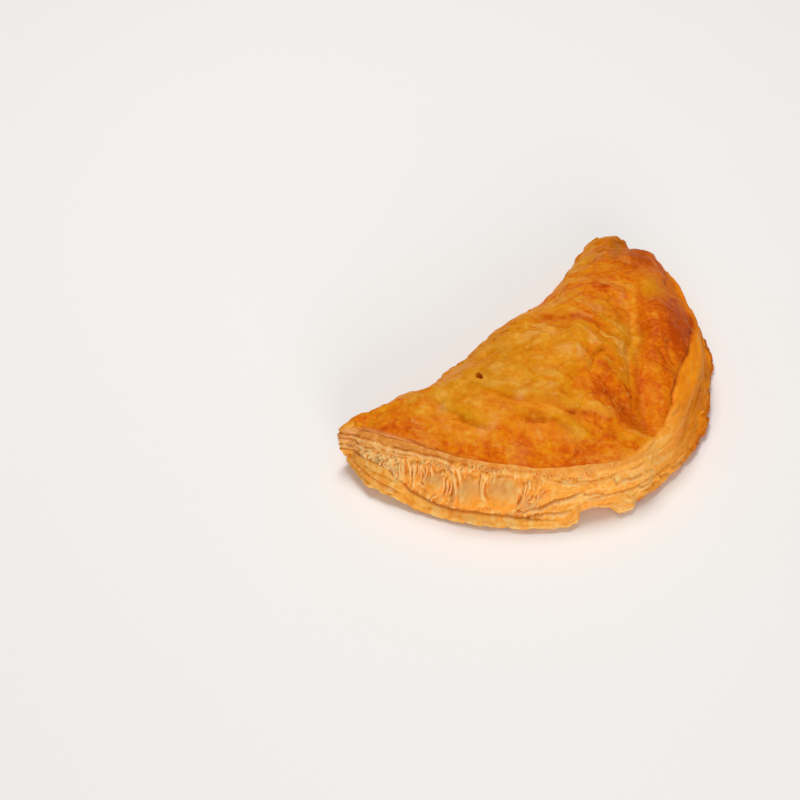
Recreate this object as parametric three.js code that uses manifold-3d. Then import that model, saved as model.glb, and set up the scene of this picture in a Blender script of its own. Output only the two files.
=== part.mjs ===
// A half-moon meat pie: one round of puff pastry folded over its filling, sealed along the curved
// edge and baked until the border rose and the top browned. It is uncut, so it is one solid.
//
// Millimetres, +Z up. +X runs along the fold and -Y points at the sealed, curved edge. The shape is
// worked out from the line through the two tips (y = 0), and the finished mesh is then moved so that
// the origin lies on the table under the middle of the pie's bounding box.

import * as THREE from 'three';
import { mergeVertices } from 'three/addons/utils/BufferGeometryUtils.js';
import loadManifold from 'manifold-3d';

// Driving dimensions
const HALF_LENGTH = 75; // from the middle to either tip
const FRONT_REACH = 86; // from the line through the tips to the front of the base
const FOLD_SQUARENESS = 3.4; // 2 rounds the fold's corners like an ellipse, more makes them tighter
const DOME_HEIGHT = 35.5; // table to the top of the filled dome
const DOME_FOOT = 14; // height from which the dome swells
const DOME_TOP = new THREE.Vector2(-6, -41);
const DOME_SWELL = 1.25; // 1 slopes evenly, more is fuller
const FOLD_SIDE = 40; // width of the dome's slope down to the fold
const FOLD_RADIUS = 7.5; // roundness of the fold along the back
const FOLD_START = 0.9; // angle at which the dome's slope runs into that round, 0 being its top

// How far the fold stands behind the line through the tips, from the left tip (-1) to the right tip (1)
const FOLD_LINE = [[-1, 6], [-0.78, 4], [-0.5, -4], [-0.3, -2], [-0.08, -0.4], [0.22, -2.4], [0.42, -0.8],
  [0.8, 7.4], [1, 8]];

// The sealed edge, by stations from the right tip (0) round the front to the left tip (1): the height
// of the top edge, how far it lies in from the base outline, how far the base sheet's ragged edge
// strays out from that outline, and how far it curls up off the table
const RIM_HEIGHTS = [[0, 14], [0.03, 13], [0.06, 16], [0.13, 17.5], [0.3, 19], [0.5, 18.5], [0.58, 20],
  [0.66, 22], [0.76, 24], [0.86, 25.5], [0.94, 23.5], [1, 18.5]];
const RIM_INSETS = [[0, 5], [0.03, 6.5], [0.07, 5.6], [0.14, 7], [0.4, 8], [0.5, 4.5], [0.56, 2.8],
  [0.66, 4.5], [0.78, 6], [0.86, 7.5], [0.93, 8], [0.97, 6.5], [1, 2.5]];
const BASE_REACHES = [[0, -1.5], [0.2, -1], [0.33, -2.5], [0.43, -0.6], [0.5, -1], [0.55, 0], [0.595, 2.6],
  [0.62, -1.5], [0.645, -2.6], [0.668, 2.6], [0.8, 2.2], [0.93, 0.4], [1, -3]];
const BASE_LIFTS = [[0, 0], [0.5, 0.6], [0.59, 0.2], [0.63, 2.2], [0.665, 0.4], [0.85, 0.4], [0.92, 2],
  [1, 4]];

// The puffed lobe at the right of the border, cut off from the dome by two creases that meet
const CREASE_CORNER = new THREE.Vector2(45, -25.5);
const CREASE_FRONT_END = new THREE.Vector2(-9, -82);
const CREASE_TIP_END = new THREE.Vector2(68, -30);
const CREASE_DROP = 7.5; // how far the long crease lies below the dome's own swell
const CORNER_DROP = 2; // the same where the two creases meet
const CREASE_RUN_IN = 30; // length over which the crease deepens from the corner
const CREASE_ROUNDING = 8; // how softly the two creases run into each other
const DOME_SHOULDER = 24; // width of the dome's slope down to the crease
const LOBE_WIDTH = 17; // from the crease to the border
const LOBE_PUFF = 3.2; // how far the lobe swells above its crease

// A low roll along the front border, left of the lobe
const ROLL_DISTANCE = 9; // from the edge to the shallow furrow behind the roll
const ROLL_WIDTH = 4.5;
const FURROW_DEPTH = 1.3;

// Unevenness of the baked crust
const BLISTERS = [{ size: 17, height: 1.5, seed: 3 }, { size: 8, height: 0.7, seed: 11 }];
const LEAF_RAGGEDNESS = 1.1; // how far the cut leaves stray in and out
const LEAF_WAVE = 0.55; // how far they stray up and down
const LEAF_CRAG = 7; // length of one stray along the edge

// A short slit that let the steam out. Its turn is in degrees from straight across the pie.
const VENT = { at: new THREE.Vector2(-32.2, -26.8), length: 5, width: 2.2, depth: 4.5, turn: -19 };

// Mesh density
const FRONT_COLUMNS = 106;
const FOLD_COLUMNS = 44;
const TOP_ROWS = 19;
const CURVE_DIVISIONS = 2000;

// The cut wall from the browned lip at the top down to the base sheet. out is the share of the way
// from the top edge to the base edge, up the share of the rim's height, and stray how ragged it is.
const CUT_WALL = [
  { out: 0.12, up: 0.965, stray: 0.3 }, // lip of the upper sheet
  { out: 0.24, up: 0.9, stray: 0.6 },
  { out: 0.2, up: 0.81, stray: 0.6 },
  { out: -0.16, up: 0.76, stray: 0.4 }, // gap under the lip
  { out: 0.16, up: 0.67, stray: 0.9 }, // a second leaf
  { out: -0.12, up: 0.61, stray: 0.5 },
  { out: 0.26, up: 0.5, stray: 1 }, // torn leaves in the middle
  { out: 0.3, up: 0.4, stray: 1 },
  { out: 0.24, up: 0.32, stray: 0.5 },
  { out: 0.5, up: 0.27, stray: 0.4 }, // top of the base sheet
  { out: 0.88, up: 0.22, stray: 0.9 },
  { out: 1, up: 0.14, stray: 1 }, // its ragged edge
  { out: 0.9, up: 0.045, stray: 0.8 },
];
const BASE_INSET = 0.2; // share of the way in from the base outline at which the flat underside starts

const { lerp, smoothstep, clamp } = THREE.MathUtils;

// Curved base edge, from the right tip round the front to the left tip
class SealedEdge extends THREE.Curve {
  getPoint(t, target = new THREE.Vector3()) {
    const turn = Math.PI * t;
    return target.set(HALF_LENGTH * Math.cos(turn), -FRONT_REACH * Math.sin(turn), 0);
  }
}

// Back edge along the fold, from the left tip to the right tip
class FoldEdge extends THREE.Curve {
  getPoint(t, target = new THREE.Vector3()) {
    const x = -HALF_LENGTH * Math.cos(Math.PI * t);
    return target.set(x, foldReach(x), 0);
  }
}

// Value at s on a smooth line through [s, value] stations
function stationValue(stations, s) {
  const next = Math.max(1, stations.findIndex(([at]) => at >= s));
  const [fromAt, from] = stations[next - 1];
  const [toAt, to] = stations[next];
  return lerp(from, to, smoothstep(s, fromAt, toAt));
}

// How far the fold stands behind the line through the tips
function foldReach(x) {
  const along = clamp(x / HALF_LENGTH, -1, 1);
  const square = (1 - Math.abs(along) ** FOLD_SQUARENESS) ** (1 / FOLD_SQUARENESS);
  return stationValue(FOLD_LINE, along) * square;
}

// Repeatable random number from 0 to 1 for a grid cell
function cellRandom(i, j, seed) {
  const mixed = Math.sin(i * 127.1 + j * 311.7 + seed * 74.7) * 43758.5453;
  return mixed - Math.floor(mixed);
}

// Smooth noise from -1 to 1 that changes over a distance of 1
function noise(x, y, seed) {
  const i = Math.floor(x);
  const j = Math.floor(y);
  const blendX = smoothstep(x - i, 0, 1);
  const blendY = smoothstep(y - j, 0, 1);
  const near = lerp(cellRandom(i, j, seed), cellRandom(i + 1, j, seed), blendX);
  const far = lerp(cellRandom(i, j + 1, seed), cellRandom(i + 1, j + 1, seed), blendX);
  return 2 * lerp(near, far, blendY) - 1;
}

// Signed distance from a point to the line from start to end, positive on its left
function sideOf(start, end, x, y) {
  const along = end.clone().sub(start).normalize();
  return along.x * (y - start.y) - along.y * (x - start.x);
}

function smoothMinimum(a, b, rounding) {
  const share = clamp(0.5 + (b - a) / (2 * rounding), 0, 1);
  return lerp(b, a, share) - rounding * share * (1 - share);
}

// How far a point lies inside the lobe, negative on the dome and at the right tip
function lobeDepth(x, y) {
  const fromDome = sideOf(CREASE_FRONT_END, CREASE_CORNER, x, y);
  const fromTip = sideOf(CREASE_CORNER, CREASE_TIP_END, x, y);
  return smoothMinimum(-fromDome, -fromTip, CREASE_ROUNDING);
}

function blisters(x, y) {
  return BLISTERS.reduce((sum, { size, height, seed }) => sum + height * noise(x / size, y / size, seed), 0);
}

// One column of the mesh for each place round the outline: its base point, its outward direction,
// its distance along the edge, and cut, which is 1 on the sealed edge and 0 on the fold.
function outlineColumns() {
  const sealed = new SealedEdge();
  const fold = new FoldEdge();
  const column = (curve, share, sealedShare, cut) => {
    const point = curve.getPointAt(share);
    const tangent = curve.getTangentAt(share);
    return {
      base: new THREE.Vector2(point.x, point.y),
      outward: new THREE.Vector2(-tangent.y, tangent.x).normalize(),
      s: sealedShare,
      cut,
    };
  };
  sealed.arcLengthDivisions = CURVE_DIVISIONS;
  fold.arcLengthDivisions = CURVE_DIVISIONS;
  const columns = [];
  for (let i = 0; i < FRONT_COLUMNS; i++) {
    columns.push(column(sealed, i / FRONT_COLUMNS, i / FRONT_COLUMNS, 1));
  }
  for (let i = 0; i < FOLD_COLUMNS; i++) {
    const share = i / FOLD_COLUMNS;
    const fromTip = Math.min(share, 1 - share);
    columns.push(column(fold, share, share < 0.5 ? 1 : 0, 1 - smoothstep(fromTip, 0, 0.1)));
  }
  let travelled = 0;
  columns.forEach((entry, index) => {
    travelled += index ? entry.base.distanceTo(columns[index - 1].base) : 0;
    entry.travelled = travelled;
  });
  return columns;
}

// The top edge of a column: where it lies, how high it is and how far inside the base edge
function topEdge(column) {
  const foldInset = FOLD_RADIUS * (1 - Math.sin(FOLD_START));
  const foldHeight = FOLD_RADIUS * (1 + Math.cos(FOLD_START));
  const inset = lerp(foldInset, stationValue(RIM_INSETS, column.s), column.cut);
  const height = lerp(foldHeight, stationValue(RIM_HEIGHTS, column.s), column.cut);
  const at = column.base.clone().addScaledVector(column.outward, -inset);
  return { at, inset, height };
}

// How deep inside the outline a point lies, 0 on the outline and changing smoothly everywhere within
function outlineDepth(x, y) {
  const fromBorder = 1 - (x / HALF_LENGTH) ** 2 - (y / FRONT_REACH) ** 2;
  const fromFold = (foldReach(x) - y) / FOLD_SIDE;
  return fromBorder + fromFold - Math.hypot(fromBorder, fromFold);
}

// How far the creases and the lobe lie below the dome's own swell
function creaseDrop(x, y) {
  const depth = lobeDepth(x, y);
  const alongCrease = CREASE_FRONT_END.clone().sub(CREASE_CORNER).normalize();
  const fromCorner = alongCrease.dot(new THREE.Vector2(x, y).sub(CREASE_CORNER));
  const deepest = lerp(CORNER_DROP, CREASE_DROP, smoothstep(fromCorner, 0, CREASE_RUN_IN));
  const shoulder = smoothstep(depth, -DOME_SHOULDER, 0) ** 1.6;
  const puff = LOBE_PUFF * Math.sin((Math.PI * clamp(depth / LOBE_WIDTH, 0, 1)) ** 0.9);
  return deepest * shoulder - puff * (deepest / CREASE_DROP);
}

// Height of the baked top before it is trimmed to the border's own height
function looseHeight(x, y) {
  const depth = clamp(outlineDepth(x, y) / outlineDepth(DOME_TOP.x, DOME_TOP.y), 0, 1);
  const swell = 1 - (1 - depth) ** DOME_SWELL;
  return lerp(DOME_FOOT, DOME_HEIGHT, swell) - creaseDrop(x, y) + blisters(x, y);
}

// Height of the baked top at a share of the way from the dome's top (0) to the top edge (1)
function topHeight(edge, at, share) {
  const trim = edge.height - looseHeight(edge.at.x, edge.at.y);
  const fromEdge = (1 - share) * edge.at.distanceTo(DOME_TOP);
  const furrow = FURROW_DEPTH * Math.exp(-(((fromEdge - ROLL_DISTANCE) / ROLL_WIDTH) ** 2));
  const onFront = smoothstep(-lobeDepth(at.x, at.y), 2, 12) * smoothstep(-edge.at.y, 10, 30);
  return looseHeight(at.x, at.y) + trim * share ** 4 - furrow * onFront;
}

// A row of the wall below the top edge, from the lip down to the base
function wallPoint(column, edge, row) {
  const { out: evenOut, up, stray } = CUT_WALL[row];
  const turn = lerp(FOLD_START, Math.PI, (row + 1) / (CUT_WALL.length + 1));
  const crag = column.travelled / LEAF_CRAG;
  const out = evenOut < 0 ? evenOut * (0.6 + 0.8 * noise(crag * 0.5, row * 3.7, 55)) : evenOut;
  const reach = stationValue(BASE_REACHES, column.s) * smoothstep(out, 0.3, 0.9);
  const lift = stationValue(BASE_LIFTS, column.s) * smoothstep(0.5 - up, 0, 0.4);
  const cutOut = edge.inset * out + reach + LEAF_RAGGEDNESS * stray * noise(crag, row * 7.3, 21);
  const cutHeight = edge.height * up + LEAF_WAVE * stray * noise(crag * 0.7, row * 5.1, 34) + lift;
  const foldOut = FOLD_RADIUS * (Math.sin(turn) - Math.sin(FOLD_START));
  const outward = lerp(foldOut, cutOut, column.cut);
  const height = lerp(FOLD_RADIUS * (1 + Math.cos(turn)), cutHeight, column.cut);
  const at = edge.at.clone().addScaledVector(column.outward, outward);
  return new THREE.Vector3(at.x, at.y, Math.max(height, 0.4));
}

// Closed skin of the pie: rows from the top of the dome out to the edge, down the wall and under
function pieGeometry() {
  const columns = outlineColumns();
  const edges = columns.map(topEdge);
  const rings = [];
  for (let row = 1; row <= TOP_ROWS; row++) {
    const share = row / TOP_ROWS;
    rings.push(edges.map((edge) => {
      const at = DOME_TOP.clone().lerp(edge.at, share);
      return new THREE.Vector3(at.x, at.y, topHeight(edge, at, share));
    }));
  }
  CUT_WALL.forEach((_, row) => {
    rings.push(columns.map((column, index) => wallPoint(column, edges[index], row)));
  });
  rings.push(columns.map(({ base }) => {
    const at = base.clone().lerp(DOME_TOP, BASE_INSET);
    return new THREE.Vector3(at.x, at.y, 0);
  }));

  const count = columns.length;
  const top = new THREE.Vector3(DOME_TOP.x, DOME_TOP.y, looseHeight(DOME_TOP.x, DOME_TOP.y));
  const bottom = new THREE.Vector3(DOME_TOP.x, DOME_TOP.y, 0);
  const vertices = [top, ...rings.flat(), bottom];
  const last = vertices.length - 1;
  const at = (ring, column) => 1 + ring * count + (column % count);
  const triangles = [];
  for (let column = 0; column < count; column++) {
    triangles.push(0, at(0, column + 1), at(0, column));
    for (let ring = 0; ring < rings.length - 1; ring++) {
      triangles.push(at(ring, column), at(ring, column + 1), at(ring + 1, column + 1));
      triangles.push(at(ring, column), at(ring + 1, column + 1), at(ring + 1, column));
    }
    triangles.push(last, at(rings.length - 1, column), at(rings.length - 1, column + 1));
  }
  const geometry = new THREE.BufferGeometry().setFromPoints(vertices);
  geometry.setIndex(triangles);
  return geometry;
}

// The slit's cutter: an ellipsoid with its long way across the pie, sunk half its depth into the top
function ventGeometry(surfaceHeight) {
  const cutter = new THREE.SphereGeometry(0.5, 12, 8);
  cutter.scale(VENT.width, VENT.length, 2 * VENT.depth);
  cutter.rotateZ(THREE.MathUtils.degToRad(VENT.turn));
  cutter.translate(VENT.at.x, VENT.at.y, surfaceHeight);
  return cutter;
}

function heightAt(geometry, x, y) {
  const ray = new THREE.Raycaster(new THREE.Vector3(x, y, 2 * DOME_HEIGHT), new THREE.Vector3(0, 0, -1));
  return ray.intersectObject(new THREE.Mesh(geometry))[0].point.z;
}

const wasm = await loadManifold();
wasm.setup();

function toSolid(geometry) {
  const bare = geometry.clone();
  bare.deleteAttribute('normal');
  bare.deleteAttribute('uv');
  const merged = mergeVertices(bare);
  return new wasm.Manifold(new wasm.Mesh({
    numProp: 3,
    vertProperties: merged.getAttribute('position').array,
    triVerts: new Uint32Array(merged.getIndex().array),
  }));
}

function toGeometry(solid) {
  const { vertProperties, triVerts } = solid.getMesh();
  const geometry = new THREE.BufferGeometry();
  geometry.setAttribute('position', new THREE.BufferAttribute(vertProperties, 3));
  geometry.setIndex(new THREE.BufferAttribute(triVerts, 1));
  geometry.computeVertexNormals();
  return geometry;
}

function buildPie() {
  const skin = pieGeometry();
  const vent = ventGeometry(heightAt(skin, VENT.at.x, VENT.at.y));
  const geometry = toGeometry(toSolid(skin).subtract(toSolid(vent)));
  const crust = new THREE.MeshStandardMaterial({ color: 0xd9851f, roughness: 0.5, metalness: 0 });
  const pie = new THREE.Mesh(geometry, crust);
  pie.name = 'meat_pie';
  geometry.computeBoundingBox();
  const middle = geometry.boundingBox.getCenter(new THREE.Vector3());
  pie.position.set(-middle.x, -middle.y, -geometry.boundingBox.min.z);
  return pie;
}

const group = new THREE.Group();
group.add(buildPie());

export default group;
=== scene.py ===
# %% [markdown]
# # A half-moon meat pie
# One round of puff pastry, folded over its filling, sealed along the curved edge and baked. Its looks
# come from three places: a mottled top that the egg wash browned, a tan lip where the top sheets were cut,
# and below it a cut edge of pale leaves that tore and opened as they rose.
# The imported solid is loaded first, as a fixed frame. The finished pie has to stay close to it.

# %% The frame
import math

import bpy
import numpy as np
from mathutils import Matrix, Vector


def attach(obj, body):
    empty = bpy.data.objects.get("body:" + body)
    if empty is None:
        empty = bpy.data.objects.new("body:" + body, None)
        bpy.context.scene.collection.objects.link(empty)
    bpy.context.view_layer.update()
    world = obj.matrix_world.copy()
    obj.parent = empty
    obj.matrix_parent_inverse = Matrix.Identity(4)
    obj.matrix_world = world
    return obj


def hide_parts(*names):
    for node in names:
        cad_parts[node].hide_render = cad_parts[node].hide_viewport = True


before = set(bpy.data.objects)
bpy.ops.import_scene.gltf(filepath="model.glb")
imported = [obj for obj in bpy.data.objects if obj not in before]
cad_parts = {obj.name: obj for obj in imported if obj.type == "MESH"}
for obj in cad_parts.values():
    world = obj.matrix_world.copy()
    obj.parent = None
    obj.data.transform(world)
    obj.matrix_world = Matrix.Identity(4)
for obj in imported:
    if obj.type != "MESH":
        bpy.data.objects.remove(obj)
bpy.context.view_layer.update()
MM = 0.001

# %% [markdown]
# ## The pie's plan
# All places on the pie are worked out in millimetres from the middle of the line through its two tips. The
# sealed edge is a half ellipse and the fold is a line given by stations. A place along the edge is a share
# from the right tip (0) round the front to the left tip (1). Short lists of stations say how high the top
# edge is there, how far it lies inside the base outline, how far the base sheet strays from that outline,
# and how far it curls up.

# %% Plan of the outline
PLAN_ORIGIN = (0.289, 39.468, 0)  # the middle of the tip line, in the frame
HALF_LENGTH = 75.0
FRONT_REACH = 86.0
FOLD_SQUARENESS = 3.4
FOLD_LINE = [(-1, 6), (-0.78, 4), (-0.5, -4), (-0.3, -2), (-0.08, -0.4), (0.22, -2.4), (0.42, -0.8),
             (0.8, 7.4), (1, 8)]
RIM_HEIGHTS = [(0, 14), (0.03, 13), (0.06, 16), (0.13, 17.5), (0.3, 19), (0.5, 18.5), (0.58, 20),
               (0.66, 22), (0.76, 24), (0.86, 25.5), (0.94, 23.5), (1, 18.5)]
RIM_INSETS = [(0, 5), (0.03, 6.5), (0.07, 5.6), (0.14, 7), (0.4, 8), (0.5, 4.5), (0.56, 2.8), (0.66, 4.5),
              (0.78, 6), (0.86, 7.5), (0.93, 8), (0.97, 6.5), (1, 2.5)]
BASE_REACHES = [(0, -1.5), (0.2, -1), (0.33, -2.5), (0.43, -0.6), (0.5, -1), (0.568, -0.4), (0.584, 2.2),
                (0.598, 2.6), (0.609, -1), (0.645, -2.4), (0.657, 1.8), (0.67, 2.6), (0.8, 2.2), (0.93, 0.4),
                (1, -3)]
BASE_LIFTS = [(0, 0), (0.5, 0.6), (0.59, 0.2), (0.63, 2.2), (0.665, 0.4), (0.85, 0.4), (0.92, 2), (1, 4)]
EDGE_POINTS = 2001
TINY = 1e-9  # keeps the middle of the plan from dividing by nothing


def smooth(value, low, high):
    """0 below low, 1 above high, and an even curve between them."""
    part = np.clip((value - low) / (high - low), 0, 1)
    return part * part * (3 - 2 * part)


def at_station(stations, share):
    """Value on a smooth line through (share, value) stations."""
    places, values = np.array(stations, float).T
    share = np.clip(share, places[0], places[-1])
    step = np.clip(np.searchsorted(places, share) - 1, 0, len(places) - 2)
    part = smooth(share, places[step], places[step + 1])
    return values[step] + (values[step + 1] - values[step]) * part


def fold_reach(x):
    """How far the fold stands behind the tip line."""
    along = np.clip(x / HALF_LENGTH, -1, 1)
    square = (1 - np.abs(along) ** FOLD_SQUARENESS) ** (1 / FOLD_SQUARENESS)
    return at_station(FOLD_LINE, along) * square


turns = np.linspace(0, math.pi, EDGE_POINTS)
edge_line = np.column_stack((HALF_LENGTH * np.cos(turns), -FRONT_REACH * np.sin(turns)))
edge_walked = np.concatenate(([0], np.cumsum(np.linalg.norm(np.diff(edge_line, axis=0), axis=1))))
EDGE_LENGTH = edge_walked[-1]
print("length of the sealed edge in mm:", round(EDGE_LENGTH, 1))


def edge_share(plan):
    """Share along the sealed edge of the place on it that faces each plan point."""
    turn = np.arctan2(-plan[:, 1] / FRONT_REACH, plan[:, 0] / HALF_LENGTH)
    turn = np.where(turn < -math.pi / 2, turn + 2 * math.pi, turn)
    return np.interp(turn, turns, edge_walked) / EDGE_LENGTH


def edge_depth(plan):
    """How far inside the base outline each plan point lies."""
    ratio = np.hypot(plan[:, 0] / HALF_LENGTH, plan[:, 1] / FRONT_REACH) + TINY
    slope = np.hypot(plan[:, 0] / HALF_LENGTH**2, plan[:, 1] / FRONT_REACH**2) / ratio
    return (1 - ratio) / (slope + TINY)


def edge_outward(plan):
    """Level direction out of the sealed edge at each plan point."""
    away = np.column_stack((plan[:, 0] / HALF_LENGTH**2, plan[:, 1] / FRONT_REACH**2))
    return away / np.linalg.norm(away, axis=1, keepdims=True)


# %% [markdown]
# ## Unevenness
# Nothing on baked dough is straight, so every shape below is stirred by the same few helpers: a smooth
# noise, the same noise in layers, a cell pattern for bubbles and for crisp shards, lines given one by one for
# the folds that stand out, and thin flakes that lie over each other. They take sizes in millimetres and a
# seed, so each run gives the same pie. A pair of numbers in smooth() is where one thing passes into the
# next: millimetres, slopes or shares.

# %% Noise helpers
LATTICE = np.array([[127.1, 311.7, 74.7], [269.5, 183.3, 246.1], [113.5, 271.9, 124.6]])
LATTICE_SEED = 17.31
LATTICE_SIZE = 43758.5453
TILT = np.array(Matrix.Rotation(0.6, 3, (0.4, 0.7, 0.6)))  # keeps the layers' lattices from lining up
SHEET_GAP = 0.37  # keeps sheets of noise with different seeds apart
FAR = 1e9  # further than anything on the pie


def lattice_random(cell, row, seed):
    """Repeatable random number from 0 to 1 for each lattice cell."""
    mixed_up = np.sin(cell @ LATTICE[row] + seed * LATTICE_SEED) * LATTICE_SIZE
    return mixed_up - np.floor(mixed_up)


def noise(points, size, seed=0):
    """Smooth noise from about -1 to 1 that changes over size millimetres."""
    scaled = points / np.asarray(size, float)
    cell = np.floor(scaled)
    part = scaled - cell
    blend = part**3 * (part * (part * 6 - 15) + 10)
    total = np.zeros(len(points))
    for corner in np.ndindex(2, 2, 2):
        weight = np.prod(np.where(corner, blend, 1 - blend), axis=1)
        offset = part - corner
        slopes = [2 * lattice_random(cell + corner, row, seed) - 1 for row in range(3)]
        total += weight * sum(slopes[row] * offset[:, row] for row in range(3))
    return 1.5 * total


def layered(points, size, layers=3, seed=0):
    """Noise with finer and weaker noise added on top."""
    total = np.zeros(len(points))
    for layer in range(layers):
        points = points @ TILT
        total += noise(points, np.asarray(size) / 2**layer, seed + layer) / 2**layer
    return total


def flat_noise(points, size, seed=0, layers=2):
    """Layered noise on a sheet, for points of (along, up)."""
    padded = np.column_stack((points, np.full(len(points), SHEET_GAP * seed)))
    total = np.zeros(len(points))
    for layer in range(layers):
        stretch = np.array((size[0], size[1], 1.0)) / 2**layer
        total += noise(padded, stretch, seed + layer) / 2**layer
    return total


def seeds_nearby(points, seed):
    """Each seed that may be nearest, one to each unit cell of a sheet: its cell, and the way from it."""
    home = np.floor(points)
    for step in np.ndindex(3, 3):
        cell = home + np.array(step) - 1
        flat = np.column_stack((cell, np.zeros(len(cell))))
        jitter = np.column_stack([lattice_random(flat, row, seed) for row in range(2)])
        yield flat, points - cell - jitter


def cells(points, seed):
    """Distances to the nearest and second nearest of scattered seeds."""
    nearest = np.full(len(points), FAR)
    second = np.full(len(points), FAR)
    for _, offset in seeds_nearby(points, seed):
        distance = np.linalg.norm(offset, axis=1)
        second = np.minimum(second, np.maximum(nearest, distance))
        nearest = np.minimum(nearest, distance)
    return nearest, second


def shards(points, seed):
    """Height and tone of shards round scattered seeds, each tilted its own way."""
    nearest = np.full(len(points), FAR)
    height = np.zeros(len(points))
    tone = np.zeros(len(points))
    for cell, offset in seeds_nearby(points, seed):
        tilt = np.column_stack([2 * lattice_random(cell, row, seed + 1) - 1 for row in range(2)])
        distance = np.linalg.norm(offset, axis=1)
        closer = distance < nearest
        height = np.where(closer, (offset * tilt).sum(axis=1), height)
        tone = np.where(closer, lattice_random(cell, 2, seed + 1), tone)
        nearest = np.minimum(nearest, distance)
    return height, tone


def line_side(plan, line):
    """Distance to a line of plan points, positive on its left, and the share of the line that is nearest."""
    line = np.array(line, float)
    lengths = np.linalg.norm(np.diff(line, axis=0), axis=1)
    walked = np.concatenate(([0], np.cumsum(lengths)))
    best = np.full(len(plan), FAR)
    side = np.zeros(len(plan))
    place = np.zeros(len(plan))
    for k, length in enumerate(lengths):
        along = (line[k + 1] - line[k]) / length
        reach = np.clip((plan[:, :2] - line[k]) @ along, 0, length)
        offset = plan[:, :2] - line[k] - reach[:, None] * along
        distance = np.hypot(offset[:, 0], offset[:, 1])
        closer = distance < best
        best = np.where(closer, distance, best)
        side = np.where(closer, along[0] * offset[:, 1] - along[1] * offset[:, 0], side)
        place = np.where(closer, (walked[k] + reach) / walked[-1], place)
    return np.where(side < 0, -best, best), place


# %% Flakes
# A flake is given by its place along, its height, half its length, half its height, its slant, how far it
# stands out, how much further its upper edge stands out than its middle, and its tone.
FLAKE_SQUARENESS = 2.6
FLAKE_REACH = 1.4  # how far a flake can be felt, for one of half length 1
FLAKE_EDGE = (0.93, 1.07)  # the ring over which it falls away
FLAKE_LINE = (0.95, 0.09)  # the ring on which its edge is drawn, and its width
UNDER_FLAKES = -1.5


def rounded_ring(across, upward):
    """Distance from the middle of a rounded square, 1 on its rim."""
    total = np.abs(across) ** FLAKE_SQUARENESS + np.abs(upward) ** FLAKE_SQUARENESS
    return total ** (1 / FLAKE_SQUARENESS)


def scattered_flakes(count, seed, places, heights, half_lengths, half_heights, slant, lifts, tilts):
    """Flakes at random, each property between its lowest and its highest value."""
    chance = np.random.default_rng(seed)
    spans = (places, heights, half_lengths, half_heights, (-slant, slant), lifts, tilts, (0, 1))
    return [[chance.uniform(low, high) for low, high in spans] for _ in range(count)]


def lay_flakes(sheet, flakes, ground=-9.0):
    """For each (along, up) point: how far the top flake stands out, its tone, and its edge as a line."""
    level = np.full(len(sheet), ground)
    tone = np.full(len(sheet), 0.5)
    border = np.zeros(len(sheet))
    ragged = 0.13 * flat_noise(sheet, (2.6, 1.6), 61) + 0.05 * flat_noise(sheet, (0.8, 0.6), 63, 1)
    for place, middle, half_length, half_height, slant, lift, tilt, shade in flakes:
        offset = sheet - (place, middle)
        near = np.flatnonzero(np.abs(offset).max(axis=1) < FLAKE_REACH * max(half_length, half_height))
        offset = offset[near]
        across = (offset[:, 0] * math.cos(slant) + offset[:, 1] * math.sin(slant)) / half_length
        upward = (offset[:, 1] * math.cos(slant) - offset[:, 0] * math.sin(slant)) / half_height
        ring = rounded_ring(across, upward) + ragged[near]
        stands = lift + tilt * upward
        stands += (UNDER_FLAKES - stands) * smooth(ring, *FLAKE_EDGE)
        covers = stands > level[near]
        covered = near[covers]
        level[covered] = stands[covers]
        tone[covered] = shade
        border[covered] = np.exp(-(((ring[covers] - FLAKE_LINE[0]) / FLAKE_LINE[1]) ** 2))
    return level, tone, border


# %% Mesh helpers
def mesh_points(mesh):
    """The mesh's points in plan millimetres."""
    flat = np.empty(3 * len(mesh.vertices))
    mesh.vertices.foreach_get("co", flat)
    return flat.reshape(-1, 3) / MM - PLAN_ORIGIN


def set_mesh_points(mesh, points):
    """Moves the mesh's points to places in plan millimetres."""
    mesh.vertices.foreach_set("co", ((points + PLAN_ORIGIN) * MM).ravel())
    mesh.update()


def mesh_normals(mesh):
    """The normal at each of the mesh's points."""
    flat = np.empty(3 * len(mesh.vertices))
    mesh.vertex_normals.foreach_get("vector", flat)
    return flat.reshape(-1, 3)


def paint(mesh, name, values):
    """Keeps one number for each point of the mesh, for its material to read."""
    layer = mesh.attributes.new(name, "FLOAT", "POINT")
    layer.data.foreach_set("value", np.clip(np.asarray(values, np.float32), 0, 1))


def active_only(thing):
    """Selects one thing alone and makes it active."""
    bpy.ops.object.select_all(action="DESELECT")
    thing.select_set(True)
    bpy.context.view_layer.objects.active = thing


def apply_modifier(thing, kind, **settings):
    """Adds a modifier with these settings and applies it."""
    active_only(thing)
    modifier = thing.modifiers.new(kind.lower(), kind)
    for name, value in settings.items():
        setattr(modifier, name, value)
    bpy.ops.object.modifier_apply(modifier=modifier.name)


# %% [markdown]
# ## The skin
# The skin is a copy of the solid. Its loose triangles are merged and turned back into four-sided faces,
# because those subdivide evenly. After one round of subdivision it is remeshed into faces of one even
# size, fine enough to carry flakes as real shape.
# The lip of the top sheets stays on the skin. Below it the front wall is first drawn in, out of sight,
# because the torn leaves there are a piece of their own with finer faces. On the right the border is one
# rounded roll, so its wall stays on the skin and is smoothed.

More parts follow.
